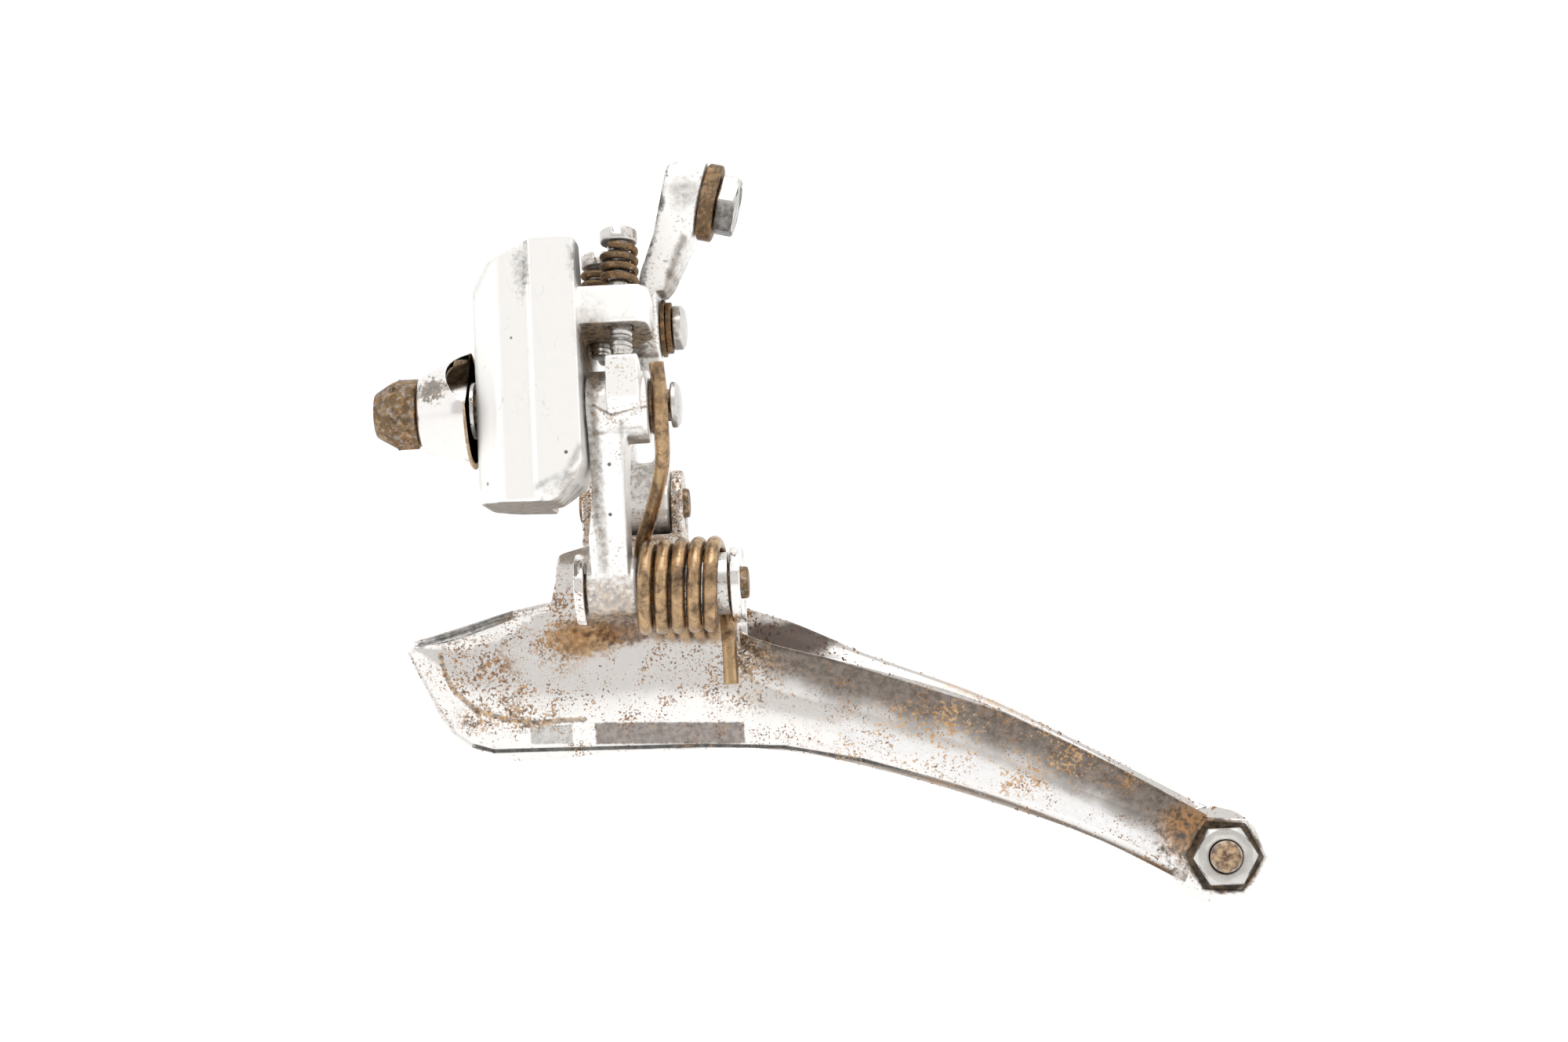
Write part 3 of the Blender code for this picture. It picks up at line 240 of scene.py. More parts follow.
def streak_group():
    """A mark along a straight line, fading to both sides, for stains, painted shade and painted reflections."""
    g, given, out = new_group("Streak", [("Vector", VECTOR, None), ("From", VECTOR, (0, 0, 0)),
                                         ("To", VECTOR, (0, 0, 0.01)), ("Weights", VECTOR, (1, 0.2, 1)),
                                         ("Width", FLOAT, 0.001), ("Fade", FLOAT, 0.5), ("Ragged", FLOAT, 0.8),
                                         ("Square", FLOAT, 0.0),
                                         ("Grain", FLOAT, 0.0012)], [("Mask", FLOAT)])
    start, end, here = (g.vector("MULTIPLY", given[name], given["Weights"]) for name in ("From", "To", "Vector"))
    run, offset = g.vector("SUBTRACT", end, start), g.vector("SUBTRACT", here, start)
    share = g.math("DIVIDE", g.measure("DOT_PRODUCT", offset, run), g.measure("DOT_PRODUCT", run, run), clamp=True)
    nearest = g.vector("SCALE", run, share)
    sides = g.vector("ABSOLUTE", g.vector("SUBTRACT", offset, nearest), (0, 0, 0))
    sides = g.add("ShaderNodeSeparateXYZ", {0: sides})
    widest = g.math("MAXIMUM", sides.outputs[0], g.math("MAXIMUM", sides.outputs[1], sides.outputs[2]))
    apart = g.blend_value(given["Square"], g.measure("DISTANCE", offset, nearest), widest)
    away = g.math("DIVIDE", apart, given["Width"])
    rough = g.noise(g.vector("SCALE", given["Vector"], g.math("DIVIDE", 1.0, given["Grain"])), 5, 0.65)
    value = g.math("MULTIPLY_ADD", g.math("SUBTRACT", rough, 0.5), given["Ragged"], away)
    low = g.math("SUBTRACT", 1.0, given["Fade"])
    g.tree.links.new(g.smooth_step(value, 1.0, low), out["Mask"])


def pits_group():
    """Sparse round pits of uneven size."""
    g, given, out = new_group("Casting pits", [("Vector", VECTOR, None), ("Spacing", FLOAT, 0.004),
                                               ("Radius", FLOAT, 0.06)], [("Mask", FLOAT)])
    place = g.vector("SCALE", given["Vector"], g.math("DIVIDE", 1.0, given["Spacing"]))
    cells = g.add("ShaderNodeTexVoronoi", {"Vector": place, "Scale": 1.0})
    chance = g.add("ShaderNodeSeparateColor", {0: cells.outputs["Color"]}).outputs[0]
    chosen = g.math("GREATER_THAN", chance, 0.55)
    edge = g.smooth_step(cells.outputs["Distance"], given["Radius"], g.math("MULTIPLY", given["Radius"], 0.6))
    g.tree.links.new(g.math("MULTIPLY", edge, chosen), out["Mask"])


def underside_group():
    """Dark oil that holds on surfaces facing down, together with painted shade: the more a surface faces down, the
    darker.
    """
    g, given, out = new_group("Underside grime", [("Vector", VECTOR, None), ("Normal", VECTOR, None),
                                                  ("Start", FLOAT, 0.3), ("Grain", FLOAT, 0.0015)],
                              [("Mask", FLOAT)])
    down = g.math("MULTIPLY", g.add("ShaderNodeSeparateXYZ", {0: given["Normal"]}).outputs[2], -1.0)
    rough = g.noise(g.vector("SCALE", given["Vector"], g.math("DIVIDE", 1.0, given["Grain"])), 4, 0.6)
    value = g.math("MULTIPLY_ADD", g.math("SUBTRACT", rough, 0.5), 0.7, down)
    g.tree.links.new(g.smooth_step(value, given["Start"], g.math("ADD", given["Start"], 0.45)), out["Mask"])


def scratches_group():
    """Thin wandering scratches and handling marks."""
    g, given, out = new_group("Fine scratches", [("Vector", VECTOR, None), ("Size", FLOAT, 0.004),
                                                 ("Width", FLOAT, 0.004)], [("Mask", FLOAT)])
    place = g.vector("SCALE", given["Vector"], g.math("DIVIDE", 1.0, given["Size"]))
    lines = g.noise(g.vector("MULTIPLY", place, (2.2, 1.0, 0.55)), 2, 0.5, 0.6)
    near = g.math("ABSOLUTE", g.math("SUBTRACT", lines, 0.5))
    broken = g.smooth_step(g.noise(g.vector("SCALE", place, 1.7), 2), 0.5, 0.6)
    mask = g.math("MULTIPLY", g.smooth_step(near, given["Width"], 0.0), broken)
    g.tree.links.new(mask, out["Mask"])


def tarnish_group():
    """Broad cloudy change of tone over a surface."""
    g, given, out = new_group("Cloudy tarnish", [("Vector", VECTOR, None), ("Size", FLOAT, 0.004),
                                                 ("Threshold", FLOAT, 0.5), ("Softness", FLOAT, 0.15)],
                              [("Mask", FLOAT)])
    place = g.vector("SCALE", given["Vector"], g.math("DIVIDE", 1.0, given["Size"]))
    value = g.noise(place, 5, 0.62, 0.4)
    top = g.math("ADD", given["Threshold"], given["Softness"])
    g.tree.links.new(g.smooth_step(value, given["Threshold"], top), out["Mask"])


def grain_group():
    """Fine surface grain as a height, and an even smaller one for gloss."""
    g, given, out = new_group("Metal grain", [("Vector", VECTOR, None), ("Size", FLOAT, 0.0004),
                                              ("Stretch", VECTOR, (1, 1, 1))],
                              [("Height", FLOAT), ("Tone", FLOAT)])
    place = g.vector("SCALE", given["Vector"], g.math("DIVIDE", 1.0, given["Size"]))
    place = g.vector("MULTIPLY", place, given["Stretch"])
    g.tree.links.new(g.noise(place, 3, 0.6), out["Height"])
    g.tree.links.new(g.noise(g.vector("SCALE", place, 0.13), 4, 0.6), out["Tone"])


def build_shader_groups():
    for make in (rust_specks_group, stain_and_shade_patch_group, streak_group, pits_group, underside_group, scratches_group,
                 tarnish_group, grain_group):
        make()


# ---- finishes ----------------------------------------------------------------------------
class Layer:
    """One layer on a metal: where it lies, its dark and light colour, and its gloss."""

    def __init__(self, group, where, dark, light, roughness=0.7, metallic=0.2, strength=1.0, height=0.0, within=None):
        self.group, self.where, self.dark, self.light, self.within = group, where, dark, light, within
        self.roughness, self.metallic, self.strength, self.height = roughness, metallic, strength, height


def tint(rgb, factor):
    """Lighter or darker copy of a colour."""
    return tuple(channel * factor for channel in rgb)


def rgba(rgb, factor=1.0):
    return (*tint(rgb, factor), 1.0)


def worn_metal(name, base, roughness, layers, grain_size=0.35, grain_depth=0.004, tone=0.06, stretch=(1, 1, 1),
               metallic=1.0):
    """Metal with fine grain, covered in turn by each layer: rust, soil, tarnish, painted shade and painted reflections.
    """
    material = bpy.data.materials.new(name)
    material.use_nodes = True
    material.node_tree.nodes.clear()
    g = Graph(material.node_tree)
    where = g.add("ShaderNodeTexCoord")
    place, normal = where.outputs["Object"], where.outputs["Normal"]
    grain = g.group("Metal grain", {"Vector": place, "Size": grain_size * MM, "Stretch": stretch})
    colour_now = g.blend_colour(g.smooth_step(grain.outputs["Tone"], 0.3, 0.7), rgba(base, 1 - tone), rgba(base))
    gloss = g.smooth_step(grain.outputs["Tone"], 0.25, 0.75, roughness * 1.15, roughness * 0.85)
    metal, height = metallic, grain.outputs["Height"]
    shades = g.noise(g.vector("SCALE", place, 1 / (0.8 * MM)), 4, 0.65)
    shades = g.smooth_step(shades, 0.35, 0.65)
    for layer in layers:
        inputs = {"Vector": place, **layer.where}
        if layer.group == "Underside grime":
            inputs["Normal"] = normal
        mask = g.math("MULTIPLY", g.group(layer.group, inputs).outputs["Mask"], layer.strength, clamp=True)
        if layer.within:
            mask = g.math("MULTIPLY", mask, g.group("Stain patch", {"Vector": place, **layer.within}).outputs["Mask"])
        cover = g.blend_colour(shades, rgba(layer.dark), rgba(layer.light))
        colour_now = g.blend_colour(mask, colour_now, cover)
        gloss = g.blend_value(mask, gloss, layer.roughness)
        metal = g.blend_value(mask, metal, layer.metallic)
        if layer.height:
            height = g.math("MULTIPLY_ADD", mask, layer.height, height)
    bump = g.add("ShaderNodeBump", {"Height": height, "Distance": grain_depth * MM, "Strength": 1.0})
    shader = g.add("ShaderNodeBsdfPrincipled", {"Base Color": colour_now, "Roughness": gloss, "Metallic": metal,
                                                "Normal": bump.outputs[0]})
    g.add("ShaderNodeOutputMaterial", {"Surface": shader.outputs[0]})
    return material


def millimetres(*values):
    return tuple(value * MM for value in values)


def patch(centre, reach, dark, light, strength=1.0, ragged=0.9, grain=1.2, roughness=0.7, metallic=0.15, height=0.0):
    """A soft patch about a centre, for stains and painted shade; both in millimetres."""
    where = {"Centre": millimetres(*centre), "Reach": millimetres(*reach), "Ragged": ragged, "Grain": grain * MM}
    return Layer("Stain patch", where, dark, light, roughness, metallic, strength, height)


def streaks(points, width, dark, light, strength=1.0, ragged=0.5, grain=0.8, fade=0.5, roughness=0.7, metallic=0.15,
            weights=(1, 0.2, 1), square=0.0):
    """Marks along a broken line, for stains, painted shade and painted reflections; points and width in millimetres."""
    where = {"Width": width * MM, "Fade": fade, "Ragged": ragged, "Grain": grain * MM, "Weights": weights,
             "Square": square}
    return [Layer("Streak", {"From": millimetres(*a), "To": millimetres(*b), **where}, dark, light, roughness,
                  metallic, strength) for a, b in zip(points, points[1:])]


def specks(size, threshold, cluster, dark, light, strength=1.0, roughness=0.75, metallic=0.1, height=1.5,
           within=None):
    """Rust spots all over, or only within a (centre, reach) in millimetres."""
    where = {"Size": size * MM, "Threshold": threshold, "Cluster": cluster}
    if within:
        centre, reach = within
        within = {"Centre": millimetres(*centre), "Reach": millimetres(*reach), "Ragged": 0.8, "Grain": 1.5 * MM}
    return Layer("Rust specks", where, dark, light, roughness, metallic, strength, height, within)


def clouds(size, threshold, softness, dark, light, strength=1.0, roughness=0.5, metallic=0.8):
    where = {"Size": size * MM, "Threshold": threshold, "Softness": softness}
    return Layer("Cloudy tarnish", where, dark, light, roughness, metallic, strength)


# Dark oil and painted shade on the faces that look down.
def undersides(start, dark, light, strength=1.0, roughness=0.65, metallic=0.4):
    return Layer("Underside grime", {"Start": start}, dark, light, roughness, metallic, strength)


def scratches(size, width, dark, strength=0.5):
    return Layer("Fine scratches", {"Size": size * MM, "Width": width}, dark, dark, 0.5, 0.8, strength, -1.0)


def pits(spacing, radius, dark):
    return Layer("Casting pits", {"Spacing": spacing * MM, "Radius": radius}, dark, dark, 0.8, 0.2, 0.9, -2.0)


def finish():
    return bpy.context.scene.derailleur_finish


def shape():
    return bpy.context.scene.derailleur_shape


def polished_aluminium(name, extra=(), underside_dirt_and_shade=0.85):
    f = finish()
    # The first layer is dark oil and painted shade on the faces that look down.
    layers = [undersides(0.55, f.grime_and_shade, tint(f.bronze_light, 0.45), underside_dirt_and_shade),
              pits(3.4, 0.085, f.grime_and_shade), scratches(5, 0.006, tint(f.aluminium, 0.5), 0.35), *extra]
    return worn_metal(name, f.aluminium, 0.32, layers, grain_size=0.25, grain_depth=0.0025, tone=0.03, metallic=0.55)


def worn_chrome(name, extra=(), rust=0.66, specked=1.0):
    f = finish()
    layers = [scratches(7, 0.005, tint(f.chrome, 0.6), 0.3),
              specks(0.45, rust, 0.55, f.rust_dark, f.rust_light, specked), *extra]
    return worn_metal(name, f.chrome, 0.13, layers, grain_size=0.5, grain_depth=0.0015, tone=0.04)


def rusty_steel(name, light=1.0, bare=0.60):
    f = finish()
    brown, tan = tint(f.bronze_dark, 1.6 * light), tint(f.bronze_light, 0.75 * light)
    layers = [clouds(1.6, 0.42, 0.22, brown, tan, 1.0, 0.62, 0.55),
              specks(0.35, 0.52, 0.5, f.rust_dark, f.rust_light, 0.75, 0.8, 0.1),
              clouds(0.7, bare, 0.12, tint(f.steel, 0.5), tint(f.steel, 0.75), 0.5, 0.4, 0.9)]
    return worn_metal(name, tint(f.bronze_light, 0.42), 0.5, layers, grain_size=0.3, grain_depth=0.012, tone=0.3)


def spring_steel(name):
    f = finish()
    layers = [clouds(2.4, 0.40, 0.30, tint(f.bronze_dark, 1.2), tint(f.bronze_dark, 3.2), 1.0, 0.36, 0.8),
              specks(0.35, 0.60, 0.5, f.rust_dark, f.rust_light, 0.6, 0.7, 0.2)]
    return worn_metal(name, tint(f.bronze_light, 1.15), 0.26, layers, grain_size=0.3, grain_depth=0.004,
                      tone=0.25)


def bright_steel(name, extra=(), rust=0.70):
    f = finish()
    layers = [clouds(1.8, 0.55, 0.25, tint(f.steel, 0.45), tint(f.steel, 0.7), 0.6, 0.45, 0.9),
              # Dark oil and painted shade on the faces that look down.
              undersides(0.5, f.grime_and_shade, f.bronze_dark, 0.6),
              specks(0.35, rust, 0.5, f.rust_dark, f.rust_light, 0.8), *extra]
    return worn_metal(name, f.steel, 0.27, layers, grain_size=0.3, grain_depth=0.004, tone=0.12)


# ---- geometry node trees -----------------------------------------------------------------
def geometry_tree(name, sizes):
    """A geometry node tree with a geometry in and out, named sizes and a material."""
    tree = bpy.data.node_groups.new(name, "GeometryNodeTree")
    tree.interface.new_socket("Geometry", in_out="INPUT", socket_type="NodeSocketGeometry")
    for label, kind, default in sizes:
        socket = tree.interface.new_socket(label, in_out="INPUT", socket_type=kind)
        socket.default_value = default
    tree.interface.new_socket("Material", in_out="INPUT", socket_type="NodeSocketMaterial")
    tree.interface.new_socket("Geometry", in_out="OUTPUT", socket_type="NodeSocketGeometry")
    g = Graph(tree)
    return g, g.add("NodeGroupInput").outputs, g.add("NodeGroupOutput").inputs


def wire_to_solid(g, given, out, curve):
    """Sweeps a round or many-sided wire along a curve and closes its ends."""
    profile = g.add("GeometryNodeCurvePrimitiveCircle",
                    {"Radius": given["Wire Radius"], "Resolution": given["Sides"]})
    solid = g.add("GeometryNodeCurveToMesh", {"Curve": curve, "Profile Curve": profile.outputs[0], "Fill Caps": True})
    real = g.add("GeometryNodeRealizeInstances", {"Geometry": solid.outputs[0]})
    painted = g.add("GeometryNodeSetMaterial", {"Geometry": real.outputs[0], "Material": given["Material"]})
    g.tree.links.new(painted.outputs[0], out["Geometry"])


def wire_coil_tree():
    """Wire wound about +Z from the origin; with four sides it is a screw thread's ridge."""
    g, given, out = geometry_tree("Wire coil", [("Wire Radius", FLOAT, 0.0005), ("Coil Radius", FLOAT, 0.002),
                                                ("Length", FLOAT, 0.005), ("Turns", FLOAT, 5.0),
                                                ("Steps", "NodeSocketInt", 20), ("Sides", "NodeSocketInt", 12)])
    spiral = g.add("GeometryNodeCurveSpiral", {"Resolution": given["Steps"], "Rotations": given["Turns"],
                                               "Start Radius": given["Coil Radius"],
                                               "End Radius": given["Coil Radius"], "Height": given["Length"]})
    wire_to_solid(g, given, out, spiral.outputs[0])


def bent_wire_tree():
    """Round wire along the line of edges that it is given."""
    g, given, out = geometry_tree("Bent wire", [("Wire Radius", FLOAT, 0.001), ("Sides", "NodeSocketInt", 16)])
    line = g.add("GeometryNodeMeshToCurve", {"Mesh": given["Geometry"]})
    wire_to_solid(g, given, out, line.outputs[0])


def from_tree(tree_name, inputs, mesh=None):
    """The plain mesh that a geometry node tree gives for these inputs."""
    tree = bpy.data.node_groups[tree_name]
    holder = bpy.data.objects.new(tree_name, mesh or bpy.data.meshes.new(tree_name))
    bpy.context.scene.collection.objects.link(holder)
    modifier = holder.modifiers.new(tree_name, "NODES")
    modifier.node_group = tree
    sockets = {item.name: item.identifier for item in tree.interface.items_tree if item.in_out == "INPUT"}
    for label, value in inputs.items():
        modifier[sockets[label]] = value
    result = evaluated_mesh(holder)
    bpy.data.objects.remove(holder)
    return result


def evaluated_mesh(obj):
    bpy.context.view_layer.update()
    return bpy.data.meshes.new_from_object(obj.evaluated_get(bpy.context.evaluated_depsgraph_get()),
                                           preserve_all_data_layers=True,
                                           depsgraph=bpy.context.evaluated_depsgraph_get())


# ---- mesh helpers ------------------------------------------------------------------------
def merged_copy(node, flat=0.5):
    """A copy of a CAD node with its loose triangles merged and its flat faces whole."""
    bm = bmesh.new()
    bm.from_mesh(frame["nodes"][node].data)
    bmesh.ops.remove_doubles(bm, verts=bm.verts, dist=3e-6)
    bmesh.ops.dissolve_degenerate(bm, dist=1e-5, edges=bm.edges)
    bmesh.ops.dissolve_limit(bm, angle_limit=math.radians(flat), verts=bm.verts, edges=bm.edges)
    return bm


def to_mesh(bm, name):
    mesh = bpy.data.meshes.new(name)
    bm.to_mesh(mesh)
    bm.free()
    return mesh


def place_piece(name, mesh, material, node, sharp=40):
    """Adds the finished mesh, gives it its finish and lets it stand for its CAD node."""
    mesh.materials.clear()
    mesh.materials.append(material)
    mesh.shade_smooth()
    mesh.set_sharp_from_angle(angle=math.radians(sharp))
    obj = bpy.data.objects.new(name, mesh)
    bpy.context.scene.collection.objects.link(obj)
    if node != "return_spring":
        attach(obj, BODY_OF[node])
    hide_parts(node)
    return obj


def round_edges(bm, name, width, angle=28, segments=2, sharp=40, level=True):
    """The mesh with its edges rounded and its shading kept flat on flat faces."""
    holder = bpy.data.objects.new(name, to_mesh(bm, name))
    bpy.context.scene.collection.objects.link(holder)
    holder.data.shade_smooth()
    holder.data.set_sharp_from_angle(angle=math.radians(sharp))
    if width > 0:
        bevel = holder.modifiers.new("Round edges", "BEVEL")
        bevel.width, bevel.segments, bevel.limit_method = width, segments, "ANGLE"
        bevel.angle_limit, bevel.use_clamp_overlap = math.radians(angle), False
        bevel.miter_outer = "MITER_ARC"
    if level:
        holder.modifiers.new("Even shading", "WEIGHTED_NORMAL").keep_sharp = True
    mesh = evaluated_mesh(holder)
    bpy.data.objects.remove(holder)
    return mesh


def soften_casting(node, name, material, voxel=0.20, rounds=7, flat=0.5):
    """Turns a CAD node into a cast piece: every edge and inside corner is softly rounded."""
    holder = bpy.data.objects.new(name, to_mesh(merged_copy(node, flat), name))
    bpy.context.scene.collection.objects.link(holder)
    remesh = holder.modifiers.new("Even skin", "REMESH")
    remesh.mode, remesh.voxel_size = "VOXEL", voxel * MM
    smooth = holder.modifiers.new("Soft edges", "SMOOTH")
    smooth.factor, smooth.iterations = 0.6, rounds
    mesh = evaluated_mesh(holder)
    bpy.data.objects.remove(holder)
    return place_piece(name, mesh, material, node, 60)


def refine(node, name, material, width=None, angle=28, segments=2, flat=0.5, reshape=None, sharp=40, level=True):
    """Turns a CAD node into its finished piece: rounded edges, smooth shading, own material."""
    bm = merged_copy(node, flat)
    if reshape:
        reshape(bm)
    mesh = round_edges(bm, name, shape().edge_round if width is None else width * MM, angle, segments, sharp, level)
    return place_piece(name, mesh, material, node, sharp)


def axis_frame(joint):
    """Matrix from a joint's own frame, +Z along its axis, to the shared frame."""
    turn = Vector(JOINTS[joint]["axis"]).to_track_quat("Z", "Y").to_matrix().to_4x4()
    return Matrix.Translation(JOINTS[joint]["pos_m"]) @ turn


def join_meshes(first, second):
    """Both meshes as one."""
    bm = bmesh.new()
    bm.from_mesh(first)
    bm.from_mesh(second)
    return to_mesh(bm, first.name)


def reach_along(bm, matrix, keep):
    """Lowest and highest place along a frame's +Z of the vertices whose radius keep accepts."""
    local = matrix.inverted()
    points = [local @ v.co for v in bm.verts]
    heights = [p.z for p in points if keep(math.hypot(p.x, p.y))]
    return min(heights), max(heights)


def thread_ridge(matrix, radius, low, high, pitch):
    """A screw thread's ridge about a frame's +Z, with its crest at the radius."""
    depth = shape().thread_depth
    turns = (high - low) / pitch
    wire = min(depth, pitch * 0.5)
    ridge = from_tree("Wire coil", {"Wire Radius": wire, "Coil Radius": radius - wire, "Length": high - low,
                                    "Turns": turns, "Steps": 28, "Sides": 4})
    ridge.transform(matrix @ Matrix.Translation((0, 0, low)))
    return ridge


def threaded(node, name, joint, material, radius, low, high, pitch, width=0.12):
    """A screw or bolt whose shank carries a real thread between low and high along its axis."""
    matrix = axis_frame(joint)
    local = matrix.inverted()
    bm = merged_copy(node)
    for vert in bm.verts:
        p = local @ vert.co
        if math.hypot(p.x, p.y) < radius * 1.02 and low - 0.5 * MM < p.z < high + 0.4 * MM:
            vert.co = matrix @ Vector((p.x * 0.86, p.y * 0.86, p.z))
    mesh = round_edges(bm, name, width * MM)
    ridge = thread_ridge(matrix, radius, low, high, pitch)
    return place_piece(name, join_meshes(mesh, ridge), material, node)


# ---- operators, one for each group of pieces ---------------------------------------------
class DERAILLEUR_OT_trees(bpy.types.Operator):
    """Build the shader and geometry node groups that the pieces share"""
    bl_idname = "derailleur.trees"
    bl_label = "Shared Node Groups"

    def execute(self, context):
        build_shader_groups()
        wire_coil_tree()
        bent_wire_tree()
        return {"FINISHED"}


class DERAILLEUR_OT_body(bpy.types.Operator):
    """Finish the cast aluminium body"""
    bl_idname = "derailleur.body"
    bl_label = "Cast Body"

    def execute(self, context):
        f = finish()
        recess = patch((15.6, 2.0, 7.5), (3.8, 11.0, 6.5), f.grime_and_shade, tint(f.bronze_light, 0.45), 1.0, 0.5, 1.0)
        # Dark brown about the arm's lower edge and underside.
        arm_underside_dark = patch((18.0, 2.0, 8.6), (6.8, 9.0, 2.3), f.grime_and_shade, tint(f.bronze_light, 0.7), 1.0, 0.9, 0.8)
        groove = patch((7.4, -8.0, 16.0), (1.1, 1.2, 4.2), f.grime_and_shade, tint(f.steel, 0.7), 0.45, 2.2, 0.5)
        # Painted shade: the rib's right side face, seen edge-on, turned dark brown.
        web = patch((14.0, -3.0, 17.0), (1.2, 6.0, 4.0), f.grime_and_shade, f.bronze_dark, 0.8, 1.1, 0.9)
        crevice = streaks([(8.2, -7.6, 19.6), (8.0, -7.6, 14.5)], 0.4, f.grime_and_shade, tint(f.steel, 0.8), 0.55, 1.8, 0.5)
        dull = patch((1.4, -4.5, -1.0), (2.8, 5.5, 10.0), f.aluminium, f.aluminium, 1.0, 0.1, 2.0, 0.9, 0.0)
        # Painted shade: a soft grey line along the pad's left edge and the top edge, where the surface turns away.
        outline = [(0.9, -4.5, -10.0), (0.9, -4.5, 13.5), (3.6, -6.0, 17.4), (8.0, -7.0, 20.2), (13.8, -7.5, 20.2)]
        edge_shade_line = streaks(outline, 0.8, tint(f.steel, 0.85), tint(f.steel, 1.1), 0.5, 0.3, 1.5, 1.0, 0.4, 0.7)
        # Painted shade: grey along the bevel of the body's lower edge.
        lower_edge_shade = streaks([(8.5, -7.8, -10.6), (12.2, -7.8, -9.2), (14.0, -7.8, -6.0)], 0.8,
                             tint(f.steel, 0.45), tint(f.steel, 0.9), 0.6, 0.8, 0.6, 1.0, 0.4, 0.8)
        # Stains together with painted shade: the rib's side and the edge lines are painted shade.
        stains = [dull, recess, arm_underside_dark, groove, web, *crevice, *edge_shade_line, *lower_edge_shade]
        soften_casting("body", "cast_body", polished_aluminium("cast aluminium, body", stains), 0.21, 9)
        return {"FINISHED"}


class DERAILLEUR_OT_mounting(bpy.types.Operator):
    """Finish the mounting bolt, its cupped washer and the sleeve inside"""
    bl_idname = "derailleur.mounting"
    bl_label = "Mounting Bolt and Cup"

    def execute(self, context):
        f = finish()
        refine("mounting_bolt", "mounting_bolt_rusted", rusty_steel("rusted steel, mounting bolt", 1.15, 0.5), 0.22)
        brown = tint(f.bronze_light, 0.5)
        tan = tint(f.bronze_light, 1.5)
        steps = ((-5.3, -3.6, 5.1), (-3.6, -1.8, 5.8), (-1.8, 0.0, 6.5), (-0.1, 0.3, 7.5))
        inside = [layer for low, high, radius in steps
                  for layer in streaks([(low, 0, 0), (high, 0, 0)], radius, brown, tan, 0.95, 0.05, 0.8, 0.02, 0.7,
                                       0.0, weights=(12, 1, 1))]
        spatter = patch((-4.2, -4.5, 2.2), (2.2, 3.0, 1.8), f.grime_and_shade, brown, 0.8, 3.4, 0.5)
        steel = worn_chrome("polished steel, cup washer", [*inside, spatter], 0.74)
        refine("cup_washer", "cup_washer_turned", steel, 0.1)
        refine("bolt_sleeve", "bolt_sleeve_turned", bright_steel("bright steel, bolt sleeve", rust=0.6), 0.1)
        return {"FINISHED"}


class DERAILLEUR_OT_upper_pivots(bpy.types.Operator):
    """Finish the upper pivot pins and their washers"""
    bl_idname = "derailleur.upper_pivots"
    bl_label = "Upper Pivots"

    def execute(self, context):
        for node in ("upper_inner_pin", "upper_outer_pin"):
            refine(node, node + "_peened", bright_steel("bright steel, " + node.replace("_", " ")), 0.2, segments=3)
        for node in ("upper_inner_washer", "upper_outer_washer", "pin_spring_washer"):
            refine(node, node + "_rusted", rusty_steel("rusted steel, " + node.replace("_", " "), 0.6), 0.06)
        return {"FINISHED"}


